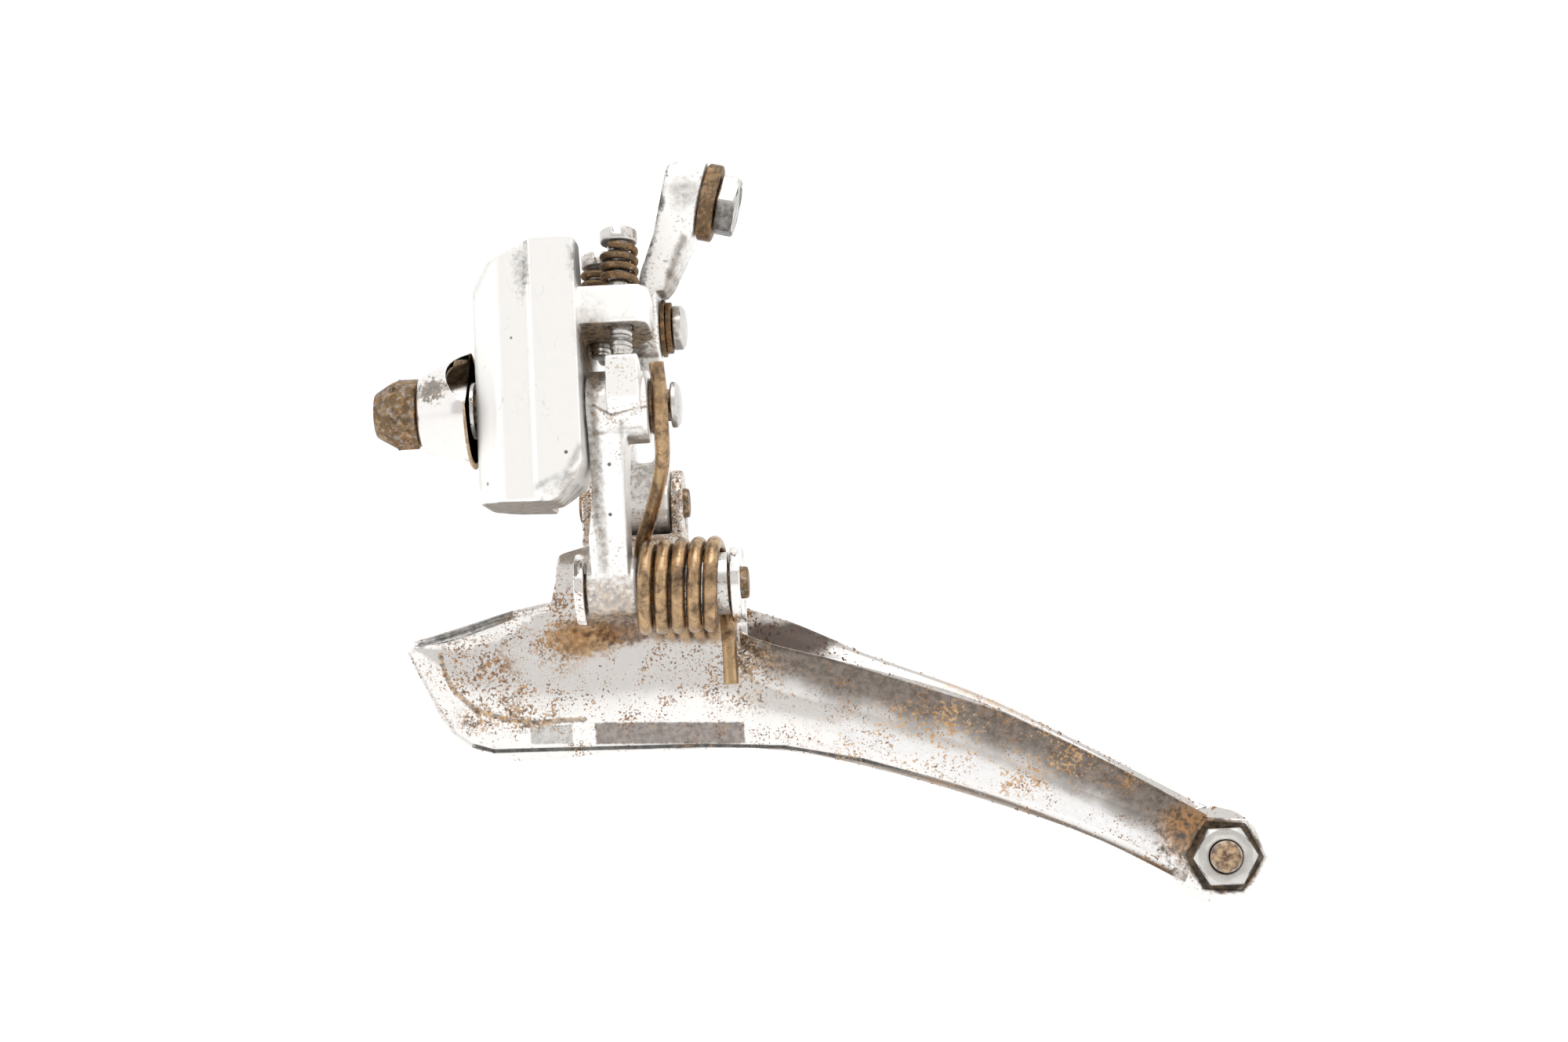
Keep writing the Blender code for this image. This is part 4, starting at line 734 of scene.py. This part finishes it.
class DERAILLEUR_OT_links(bpy.types.Operator):
    """Finish the two parallel links, one with the cable arm"""
    bl_idname = "derailleur.links"
    bl_label = "Links and Cable Arm"

    def execute(self, context):
        f = finish()
        dust = specks(0.35, 0.62, 0.5, f.rust_dark, f.bronze_light, 0.6)
        shoulder = patch((15.6, -2.0, 3.0), (1.6, 4.5, 3.2), f.grime_and_shade, tint(f.bronze_light, 0.6), 0.9, 1.6, 0.7)
        foot = patch((15.5, 5.0, -24.5), (5.0, 5.0, 4.0), f.rust_dark, f.bronze_light, 0.6, 1.8, 0.6)
        neck = patch((14.6, 0.0, -8.0), (0.7, 4.0, 9.0), f.grime_and_shade, tint(f.bronze_light, 0.5), 0.6, 1.8, 0.6)
        left_side = streaks([(15.2, -3.6, 1.5), (15.2, -3.6, -8.0), (15.2, 0.0, -20.0)], 1.1, tint(f.bronze_light, 0.3),
                            tint(f.steel, 0.55), 0.95, 1.2, 0.7, 1.0)
        shade = streaks([(18.6, -3.6, -3.0), (18.3, 0.0, -18.0)], 0.55, tint(f.steel, 0.5), tint(f.steel, 0.8),
                        0.6, 0.4, 1.0, 1.0, 0.4, 0.8)
        crease = streaks([(15.4, -4.4, -0.6), (17.6, -4.4, -1.9), (21.8, -4.4, -1.1)], 0.22, f.grime_and_shade,
                         tint(f.bronze_light, 0.6), 0.7, 0.8, 0.4)
        soften_casting("inner_link", "inner_link_cast",
                       polished_aluminium("cast aluminium, inner link",
                                          [shoulder, foot, neck, *left_side, *shade, *crease, dust]), 0.17, 6)
        edge = patch((18.5, 9.0, 14.5), (2.4, 9.0, 7.0), f.grime_and_shade, f.bronze_dark, 0.7, 1.8, 0.8)
        barrel = patch((17.0, 8.0, 6.5), (5.0, 5.0, 5.0), f.grime_and_shade, tint(f.bronze_dark, 2.0), 0.9, 1.2, 0.9)
        web = patch((19.5, 12.0, -8.0), (3.5, 5.0, 4.5), f.grime_and_shade, tint(f.bronze_light, 0.5), 0.55, 2.2, 0.7)
        hole = patch((24.0, 4.0, 25.6), (0.7, 5.0, 1.3), f.grime_and_shade, f.bronze_dark, 0.8, 0.8, 0.6)
        facet = streaks([(20.3, 9.0, 15.0), (22.2, 8.0, 21.0), (23.6, 7.0, 26.0), (24.6, 6.8, 30.0)], 1.0, f.grime_and_shade,
                        tint(f.steel, 0.75), 0.85, 2.1, 0.45, 0.7, weights=(1, 0, 1))
        under_arm = streaks([(23.2, 11.0, 13.0), (24.6, 10.0, 16.9), (26.6, 8.0, 21.0)], 0.8, f.grime_and_shade,
                            tint(f.bronze_light, 0.55), 0.6, 1.6, 0.7, 0.9, weights=(1, 0, 1))
        # Painted shade: a grey line along the cable arm's top edge.
        top_edge_shade = streaks([(25.3, 6.8, 31.2), (26.8, 6.8, 32.1), (30.0, 6.8, 31.5)], 0.6, tint(f.steel, 0.9),
                           tint(f.steel, 1.1), 0.6, 0.4, 1.5, 1.0, 0.4, 0.7, weights=(1, 0, 1))
        boss = patch((27.0, 6.8, 26.5), (2.4, 9.0, 2.6), tint(f.steel, 0.55), tint(f.steel, 1.1), 0.7, 0.9, 2.5,
                     0.3, 0.9)
        soften_casting("outer_link", "outer_link_cast",
                       polished_aluminium("cast aluminium, outer link",
                                          [edge, boss, *facet, *under_arm, *top_edge_shade, hole, barrel, web, dust]), 0.19, 6)
        return {"FINISHED"}


class DERAILLEUR_OT_cable_anchor(bpy.types.Operator):
    """Finish the cable clamp washer and its bolt"""
    bl_idname = "derailleur.cable_anchor"
    bl_label = "Cable Anchor"

    def execute(self, context):
        f = finish()
        shade = undersides(0.05, f.grime_and_shade, tint(f.steel, 0.35), 0.85, 0.4, 0.9)
        rusted = rusty_steel("rusted steel, clamp washer", 1.1)
        refine("cable_clamp_washer", "cable_clamp_washer_rusted", rusted, 0.25)
        refine("cable_bolt", "cable_bolt_plated", bright_steel("plated steel, cable bolt", [shade]), 0.2)
        return {"FINISHED"}


class DERAILLEUR_OT_limit_screws(bpy.types.Operator):
    """Make the two threaded limit screws and wind their springs"""
    bl_idname = "derailleur.limit_screws"
    bl_label = "Limit Screws and Springs"

    def execute(self, context):
        s = shape()
        for side in ("low", "high"):
            joint = side + "_limit_screw_turn"
            matrix = axis_frame(joint)
            crest = 1.45 * MM
            solid = merged_copy(side + "_limit_screw")
            under_head, _ = reach_along(solid, matrix, lambda r: r > crest + 0.15 * MM)
            solid.free()
            threaded(side + "_limit_screw", side + "_limit_screw_threaded", joint,
                     bright_steel(f"plated steel, {side} limit screw", rust=0.62), crest,
                     0.5 * MM, under_head - 0.1 * MM, s.screw_pitch)
            self.wind_spring(side, matrix)
        return {"FINISHED"}

    def wind_spring(self, side, matrix):
        s = shape()
        node = side + "_limit_spring"
        solid = merged_copy(node)
        low, high = reach_along(solid, matrix, lambda r: True)
        local = matrix.inverted()
        outer = max(math.hypot((local @ v.co).x, (local @ v.co).y) for v in solid.verts)
        solid.free()
        run = high - low - 2 * s.limit_wire
        coil = from_tree("Wire coil", {"Wire Radius": s.limit_wire, "Coil Radius": outer - s.limit_wire,
                                       "Length": run,
                                       "Turns": s.limit_turns * run / (10 * MM), "Steps": 36, "Sides": 14})
        coil.transform(matrix @ Matrix.Translation((0, 0, low + s.limit_wire)))
        place_piece(node + "_wound", coil, rusty_steel(f"rusted steel, {side} limit spring", 0.7), node)


class DERAILLEUR_OT_return_spring(bpy.types.Operator):
    """Wind the return spring: upper leg past the pivot, close coils, lower leg along the cage"""
    bl_idname = "derailleur.return_spring"
    bl_label = "Return Spring"

    def execute(self, context):
        s = shape()
        mesh = bpy.data.meshes.new("return spring line")
        points = self.line()
        mesh.from_pydata(points, [(k, k + 1) for k in range(len(points) - 1)], [])
        solid = from_tree("Bent wire", {"Wire Radius": s.return_wire, "Sides": 20}, mesh)
        spring = place_piece("return_spring_wound", solid, spring_steel("tarnished spring steel, return spring"),
                             "return_spring")
        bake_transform(spring)
        return {"FINISHED"}

    def line(self):
        """Points along the middle of the wire."""
        s = shape()
        start_x, leg_x = 18.97 * MM, 23.5 * MM
        top, low = PIVOT_UPPER, PIVOT_LOWER
        leg_y = top.y - 3.22 * MM
        knee = (leg_y, top.z - 2.5 * MM)
        reach = math.hypot(knee[0] - low.y, knee[1] - low.z)
        arrive = math.atan2(knee[1] - low.z, knee[0] - low.y) - math.acos(s.return_radius / reach)
        leave = -2 * math.pi * s.return_turns
        steps = int(math.degrees(arrive - leave) / 7.5)
        coil = []
        for k in range(steps + 1):
            angle = arrive + (leave - arrive) * k / steps
            coil.append(Vector((start_x + s.return_pitch * (arrive - angle) / (2 * math.pi),
                                low.y + s.return_radius * math.cos(angle),
                                low.z + s.return_radius * math.sin(angle))))
        start, end = coil[0], coil[-1]

        def along(t, x):
            return Vector((x, start.y + (knee[0] - start.y) * t, start.z + (knee[1] - start.z) * t))

        upper = [Vector((leg_x - 0.3 * MM, leg_y + 0.3 * MM, top.z + 4.9 * MM)),
                 Vector((leg_x, leg_y, top.z + 1.5 * MM)),
                 Vector((leg_x, leg_y + 0.2 * MM, top.z - 2.0 * MM)), along(0.75, leg_x - 0.3 * MM),
                 along(0.38, leg_x - 2.3 * MM), along(0.12, start.x + 0.35 * MM), start]
        lower = [end + Vector(millimetres(0.1, 0, -2.0)), end + Vector(millimetres(0.25, 0, -6.2)),
                 end + Vector(millimetres(0.4, 0, -12.4))]
        return smooth_line(upper, 10)[:-1] + coil + lower


def smooth_line(points, steps):
    """Smooth curve through points, with steps pieces between each two."""
    gaps = [(b - a).length for a, b in zip(points, points[1:])]
    slopes = [(b - a) / gap for a, b, gap in zip(points, points[1:], gaps)]
    inner = [(slopes[i] * gaps[i + 1] + slopes[i + 1] * gaps[i]) / (gaps[i] + gaps[i + 1])
             for i in range(len(gaps) - 1)]
    tangents = [slopes[0]] + inner + [slopes[-1]]
    line = []
    for i, gap in enumerate(gaps):
        for k in range(steps):
            t = k / steps
            line.append(points[i] * (2 * t ** 3 - 3 * t ** 2 + 1) + points[i + 1] * (3 * t ** 2 - 2 * t ** 3)
                        + tangents[i] * gap * (t ** 3 - 2 * t ** 2 + t) + tangents[i + 1] * gap * (t ** 3 - t ** 2))
    return line + [points[-1].copy()]


class DERAILLEUR_OT_lower_pivots(bpy.types.Operator):
    """Finish the lower pivot pins and the spring's bush"""
    bl_idname = "derailleur.lower_pivots"
    bl_label = "Lower Pivots"

    def execute(self, context):
        for node in ("lower_inner_pin", "lower_outer_pin"):
            refine(node, node + "_peened", rusty_steel("rusted steel, " + node.replace("_", " "), 1.3, 0.5), 0.2)
        refine("spring_bush", "spring_bush_turned", bright_steel("bright steel, spring bush", rust=0.58), 0.1)
        return {"FINISHED"}


class DERAILLEUR_OT_cage(bpy.types.Operator):
    """Finish the two chromed cage plates with their rust, and paint shade, highlights and reflections on the inner one
    """
    bl_idname = "derailleur.cage"
    bl_label = "Cage Plates"

    def execute(self, context):
        for side, layers, rust in (("inner", inner_plate_shading() + inner_plate_rust(), 0.74),
                                   ("outer", outer_plate_rust(), 0.66)):
            refine(side + "_cage_plate", side + "_cage_plate_chromed",
                   worn_chrome(f"worn chrome, {side} plate", layers, rust), 0.15, angle=50, segments=2, flat=0.2,
                   sharp=50, level=False)
        return {"FINISHED"}


def plate_streaks(points, *look, **options):
    """Streaks along (x, z) points on the inner plate's near face."""
    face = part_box("tail_nut")[1].y / MM
    return streaks([(x, face, z) for x, z in points], *look, **options)


def plate_patch(centre, reach, *look, **options):
    """A stain about an (x, z) centre on the inner plate's near face."""
    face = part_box("tail_nut")[1].y / MM
    return patch((centre[0], face, centre[1]), reach, *look, **options)


def plate_spots(size, threshold, dark, light, centre, reach):
    """Rust spots within reach of an (x, z) centre on the inner plate's near face."""
    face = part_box("tail_nut")[1].y / MM
    return specks(size, threshold, 0.5, dark, light, 0.9,
                  within=((centre[0], face, centre[1]), (reach[0], 4.0, reach[1])))


def inner_plate_shading():
    """Painted shade, highlights and reflections along the dished tail, the rolled rim, the nose and the lower border,
    and rust and oil in the fold.
    """
    f = finish()
    flat = {"weights": (1, 0, 1)}
    rim = [(36.0, -30.3), (44.2, -33.2), (53.8, -36.6), (63.5, -40.2), (73.1, -45.2), (80.8, -49.5), (86.0, -52.8)]
    foot = [(-3.6, -41.0), (-1.0, -41.8), (26.0, -42.3), (35.9, -43.0), (45.7, -45.1), (55.4, -48.2), (65.0, -51.7),
            (74.5, -55.8), (84.0, -60.6)]
    left = [(-11.3, -29.0), (-8.8, -34.3), (-5.9, -39.3), foot[0]]
    fold = [(-7.3, -29.4), (-6.8, -31.8), (-5.5, -34.2), (-3.0, -36.5), (0.4, -37.8), (4.3, -38.5), (10.7, -38.3)]
    nose = [(-9.7, -27.8), (-7.2, -27.1), (-3.2, -26.1), (1.7, -24.6)]
    return [
        # Painted reflection: a pale band where the lower tail turns down.
        *plate_streaks([(44.0, -41.5), (59.0, -46.6), (74.0, -53.4), (84.0, -58.6)], 2.6, (0.80, 0.79, 0.78),
                       (0.86, 0.855, 0.85), 0.85, 0.3, 2.0, 0.8, 0.35, 0.2),
        # Painted shade: a dark band below the rolled rim of the dished tail.
        *plate_streaks(rim, 6.6, (0.14, 0.118, 0.10), (0.22, 0.185, 0.16), 1.0, 0.2, 1.5, 0.75, 0.22, 0.95),
        # Painted highlight: chrome tone along the rim's lip, the shade band's sharp top edge.
        *plate_streaks([(x + 0.4, z + 0.8) for x, z in rim], 0.75, tint(f.chrome, 0.85), f.chrome, 0.95, 0.25, 1.5,
                       0.35, 0.15, 1.0),
        # Painted shadow: a thin dark line just above the plate's lower border.
        *plate_streaks(foot, 0.34, tint(f.steel, 0.06), tint(f.steel, 0.16), 0.95, 0.3, 1.5, 0.5, 0.2, 0.9, **flat),
        # Painted shade: a grey line along the nose's left edge.
        *plate_streaks(left, 0.35, tint(f.steel, 0.6), tint(f.steel, 0.9), 0.6, 0.3, 1.5, 1.0, 0.2, 0.9, **flat),
        # Painted reflections: two grey blocks in the bright bevel along the lower border.
        *plate_streaks([(13.4, -40.2), (29.6, -40.9)], 1.5, (0.20, 0.17, 0.155), (0.31, 0.275, 0.25), 0.95, 0.3, 0.8,
                       0.2, 0.2, 0.95, square=1),
        *plate_streaks([(5.0, -40.0), (8.0, -40.1)], 1.3, tint(f.steel, 0.6), tint(f.steel, 0.85), 0.9, 0.3, 0.8, 0.2,
                       0.2, 0.95, square=1),
        # Painted reflection: a dark band along the nose's upper rim.
        *plate_streaks(nose, 0.7, tint(f.steel, 0.12), tint(f.steel, 0.35), 0.9, 0.4, 1.0, 0.6, 0.2, 0.95),
        *plate_streaks(fold, 0.45, f.grime_and_shade, tint(f.bronze_light, 1.25), 0.75, 1.8, 0.5),
    ]


def inner_plate_rust():
    """Rust spots and stains, thickest under the spring, in the nose, along the tail and round the nut."""
    f = finish()
    gold = tint(f.bronze_light, 1.25)
    tail = Vector(JOINTS["tail_screw_turn"]["pos_m"]) / MM
    return [
        specks(0.30, 0.60, 0.5, f.rust_dark, f.rust_light, 0.9),
        plate_spots(0.42, 0.555, f.rust_dark, f.rust_light, (-3.0, -33.0), (7.0, 6.5)),
        plate_spots(0.34, 0.53, f.rust_dark, gold, (1.0, -37.6), (7.5, 2.4)),
        plate_patch((11.0, -28.0), (5.6, 6.0, 3.0), tint(f.rust_light, 0.55), gold, 0.95, 1.5, 0.9, height=1.0),
        plate_spots(0.40, 0.52, f.rust_dark, f.rust_light, (8.0, -26.0), (4.5, 7.5)),
        plate_patch((16.0, -27.6), (5.0, 6.0, 1.8), f.rust_dark, f.rust_light, 0.8, 1.5, 0.8),
        plate_spots(0.38, 0.53, f.rust_dark, gold, (31.0, -33.5), (6.0, 6.0)),
        plate_spots(0.45, 0.565, f.rust_light, gold, (62.0, -44.0), (24.0, 8.0)),
        plate_patch((86.0, -56.0), (4.6, 4.0, 4.6), f.grime_and_shade, f.rust_light, 0.85, 2.0, 0.8, height=1.0),
        *plate_streaks([(tail.x, tail.z), (tail.x + 0.1, tail.z)], 4.9, f.grime_and_shade, tint(f.bronze_light, 0.5), 0.95,
                       0.25, 0.9, 0.12, weights=(1, 0, 1)),
    ]


def outer_plate_rust():
    """Rust spots, a brown stain below the clevis and a tan bloom along the tail."""
    f = finish()
    return [
        specks(0.5, 0.60, 0.4, f.rust_dark, f.rust_light, 1.0),
        patch((36.5, 25.7, -28.6), (9.5, 2.0, 3.0), f.rust_dark, f.bronze_dark, 0.9, 1.0, 1.6),
        patch((62.0, 25.7, -38.0), (34.0, 3.0, 4.0), tint(f.bronze_light, 1.5), tint(f.chrome, 0.9), 0.6, 1.2, 2.0),
    ]


class DERAILLEUR_OT_clevis(bpy.types.Operator):
    """Finish the clevis that carries the outer link, and its rivets"""
    bl_idname = "derailleur.clevis"
    bl_label = "Cage Clevis"

    def execute(self, context):
        f = finish()
        pocket = patch((20.8, 19.5, -13.5), (3.5, 6.0, 2.6), f.grime_and_shade, f.bronze_dark, 0.9, 1.2, 1.0)
        tan = clouds(1.2, 0.40, 0.3, tint(f.bronze_light, 0.55), tint(f.bronze_light, 1.3), 0.75, 0.55, 0.4)
        speckled = specks(0.30, 0.52, 0.4, f.rust_dark, f.rust_light, 0.8)
        steel = worn_chrome("pitted steel, clevis", [tan, speckled, pocket], 0.6)
        refine("cage_clevis", "cage_clevis_pressed", steel, 0.3, segments=3)
        for node in ("clevis_rivet_front", "clevis_rivet_rear"):
            refine(node, node + "_peened", bright_steel("bright steel, " + node.replace("_", " ")), 0.15)
        return {"FINISHED"}


class DERAILLEUR_OT_tail(bpy.types.Operator):
    """Finish the tail screw, its nut and the spacer between the plates"""
    bl_idname = "derailleur.tail"
    bl_label = "Tail Screw"

    def execute(self, context):
        f = finish()
        centre = Vector(JOINTS["tail_screw_turn"]["pos_m"]) / MM
        rusty_end = patch((centre.x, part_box("tail_screw")[0].y / MM, centre.z), (2.6, 1.5, 2.6), f.rust_dark,
                          f.bronze_light, 0.95, 0.9, 0.9)
        nut_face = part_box("tail_nut")[0].y / MM
        crease = [patch((centre.x, nut_face + 3.0, centre.z), (8.0, 1.6, 8.0), f.grime_and_shade, f.bronze_dark, 0.85, 0.5,
                        0.8)]
        refine("tail_nut", "tail_nut_plated", bright_steel("plated steel, tail nut", crease, 0.68), 0.15)
        refine("tail_screw", "tail_screw_plated", bright_steel("plated steel, tail screw", [rusty_end]), 0.15)
        refine("tail_spacer", "tail_spacer_turned", bright_steel("plated steel, tail spacer", rust=0.6), 0.1)
        return {"FINISHED"}


class DERAILLEUR_OT_stage(bpy.types.Operator):
    """Set up the pale floor, the light tent and the camera"""
    bl_idname = "derailleur.stage"
    bl_label = "Studio"

    def execute(self, context):
        self.floor(context.scene.derailleur_studio)
        self.light(context.scene, context.scene.derailleur_studio)
        self.camera(context.scene, context.scene.derailleur_studio)
        return {"FINISHED"}

    def floor(self, studio):
        drop = CAD_BOX[0][2] - studio.floor_drop
        mesh = bpy.data.meshes.new("floor")
        reach = 3.0
        mesh.from_pydata([(-reach, -reach, drop), (reach, -reach, drop), (reach, reach, drop), (-reach, reach, drop)],
                         [], [(0, 1, 2, 3)])
        material = bpy.data.materials.new("white paper floor")
        material.use_nodes = True
        material.node_tree.nodes.clear()
        g = Graph(material.node_tree)
        place = g.add("ShaderNodeTexCoord").outputs["Object"]
        tone = g.smooth_step(g.noise(g.vector("SCALE", place, 400), 3), 0.3, 0.7)
        shade = g.blend_colour(tone, (0.93, 0.93, 0.93, 1), (0.96, 0.96, 0.96, 1))
        shader = g.add("ShaderNodeBsdfPrincipled", {"Base Color": shade, "Roughness": 0.9})
        g.add("ShaderNodeOutputMaterial", {"Surface": shader.outputs[0]})
        mesh.materials.append(material)
        floor = bpy.data.objects.new("floor", mesh)
        bpy.context.scene.collection.objects.link(floor)

    def light(self, scene, studio):
        world = bpy.data.worlds.new("light tent")
        world.use_nodes = True
        world.node_tree.nodes.clear()
        g = Graph(world.node_tree)
        background = g.add("ShaderNodeBackground", {"Color": (1, 1, 1, 1), "Strength": studio.sky})
        g.add("ShaderNodeOutputWorld", {"Surface": background.outputs[0]})
        scene.world = world
        self.area(scene, "overhead softbox", (0.10, -0.25, 0.55), (0.03, 0, 0), 0.5, studio.key)
        self.card(scene, "grey card behind the camera", (0.03, -0.75, 0.05), (1.3, 0.9), 90, 0.66)
        self.card(scene, "dark card over the nose", (-0.07, -0.06, 0.16), (0.05, 0.05), 30)

    def area(self, scene, name, place, target, size, power):
        data = bpy.data.lights.new(name, "AREA")
        data.energy, data.size = power, size
        lamp = bpy.data.objects.new(name, data)
        lamp.location = place
        lamp.rotation_euler = (Vector(target) - Vector(place)).to_track_quat("-Z", "Y").to_euler()
        scene.collection.objects.link(lamp)

    def card(self, scene, name, place, size, tilt, tone=0.05):
        """A card that only reflections see, for contrast in the bright metal."""
        mesh = bpy.data.meshes.new(name)
        w, h = size[0] / 2, size[1] / 2
        mesh.from_pydata([(-w, -h, 0), (w, -h, 0), (w, h, 0), (-w, h, 0)], [], [(0, 1, 2, 3)])
        mesh.transform(Matrix.Translation(place) @ Matrix.Rotation(math.radians(tilt), 4, "X"))
        material = bpy.data.materials.new(name)
        material.use_nodes = True
        shader = material.node_tree.nodes["Principled BSDF"]
        shader.inputs["Base Color"].default_value = (tone, tone * 0.98, tone * 0.96, 1)
        shader.inputs["Roughness"].default_value = 0.9
        mesh.materials.append(material)
        card = bpy.data.objects.new(name, mesh)
        scene.collection.objects.link(card)
        card.visible_camera = card.visible_shadow = False

    def camera(self, scene, studio):
        yaw, pitch, roll = (math.radians(angle) for angle in CAMERA_ANGLES)
        ahead = Vector((-math.sin(yaw) * math.cos(pitch), math.cos(yaw) * math.cos(pitch), math.sin(pitch)))
        level = Vector((math.cos(yaw), math.sin(yaw), 0))
        right = level * math.cos(roll) - level.cross(ahead) * math.sin(roll)
        up = right.cross(ahead)
        data = bpy.data.cameras.new("camera")
        data.lens, data.sensor_width, data.clip_start = CAMERA_LENS, CAMERA_SENSOR, 10 * MM
        camera = bpy.data.objects.new("camera", data)
        turn = Matrix((right, up, -ahead)).transposed().to_4x4()
        middle = right * CAMERA_ASIDE[0] * MM + up * CAMERA_ASIDE[1] * MM
        camera.matrix_world = Matrix.Translation(-(ahead * studio.camera_distance + middle)) @ turn
        scene.collection.objects.link(camera)
        scene.camera = camera
        scene.view_settings.view_transform = "Standard"


class DERAILLEUR_PT_panel(bpy.types.Panel):
    """Lists the derailleur's settings and its pieces"""
    bl_idname = "DERAILLEUR_PT_panel"
    bl_label = "Front Derailleur"
    bl_space_type = "VIEW_3D"
    bl_region_type = "UI"
    bl_category = "Derailleur"

    def draw(self, context):
        for settings in (context.scene.derailleur_shape, context.scene.derailleur_finish,
                         context.scene.derailleur_studio):
            box = self.layout.box()
            for name in settings.__annotations__:
                box.prop(settings, name)
        for operator in OPERATORS:
            self.layout.operator(operator.bl_idname)


SETTINGS = {"derailleur_shape": DerailleurShape, "derailleur_finish": DerailleurFinish,
            "derailleur_studio": DerailleurStudio}
OPERATORS = (DERAILLEUR_OT_trees, DERAILLEUR_OT_body, DERAILLEUR_OT_mounting, DERAILLEUR_OT_upper_pivots,
             DERAILLEUR_OT_links, DERAILLEUR_OT_cable_anchor, DERAILLEUR_OT_limit_screws,
             DERAILLEUR_OT_return_spring, DERAILLEUR_OT_lower_pivots, DERAILLEUR_OT_cage, DERAILLEUR_OT_clevis,
             DERAILLEUR_OT_tail, DERAILLEUR_OT_stage)


def register():
    for cls in (*SETTINGS.values(), *OPERATORS, DERAILLEUR_PT_panel):
        bpy.utils.register_class(cls)
    for name, cls in SETTINGS.items():
        setattr(bpy.types.Scene, name, PointerProperty(type=cls))


def unregister():
    for name in SETTINGS:
        delattr(bpy.types.Scene, name)
    for cls in reversed((*SETTINGS.values(), *OPERATORS, DERAILLEUR_PT_panel)):
        bpy.utils.unregister_class(cls)


def main():
    register()
    for operator in OPERATORS:
        getattr(bpy.ops.derailleur, operator.bl_idname.split(".")[1])()


if __name__ == "__main__":
    main()
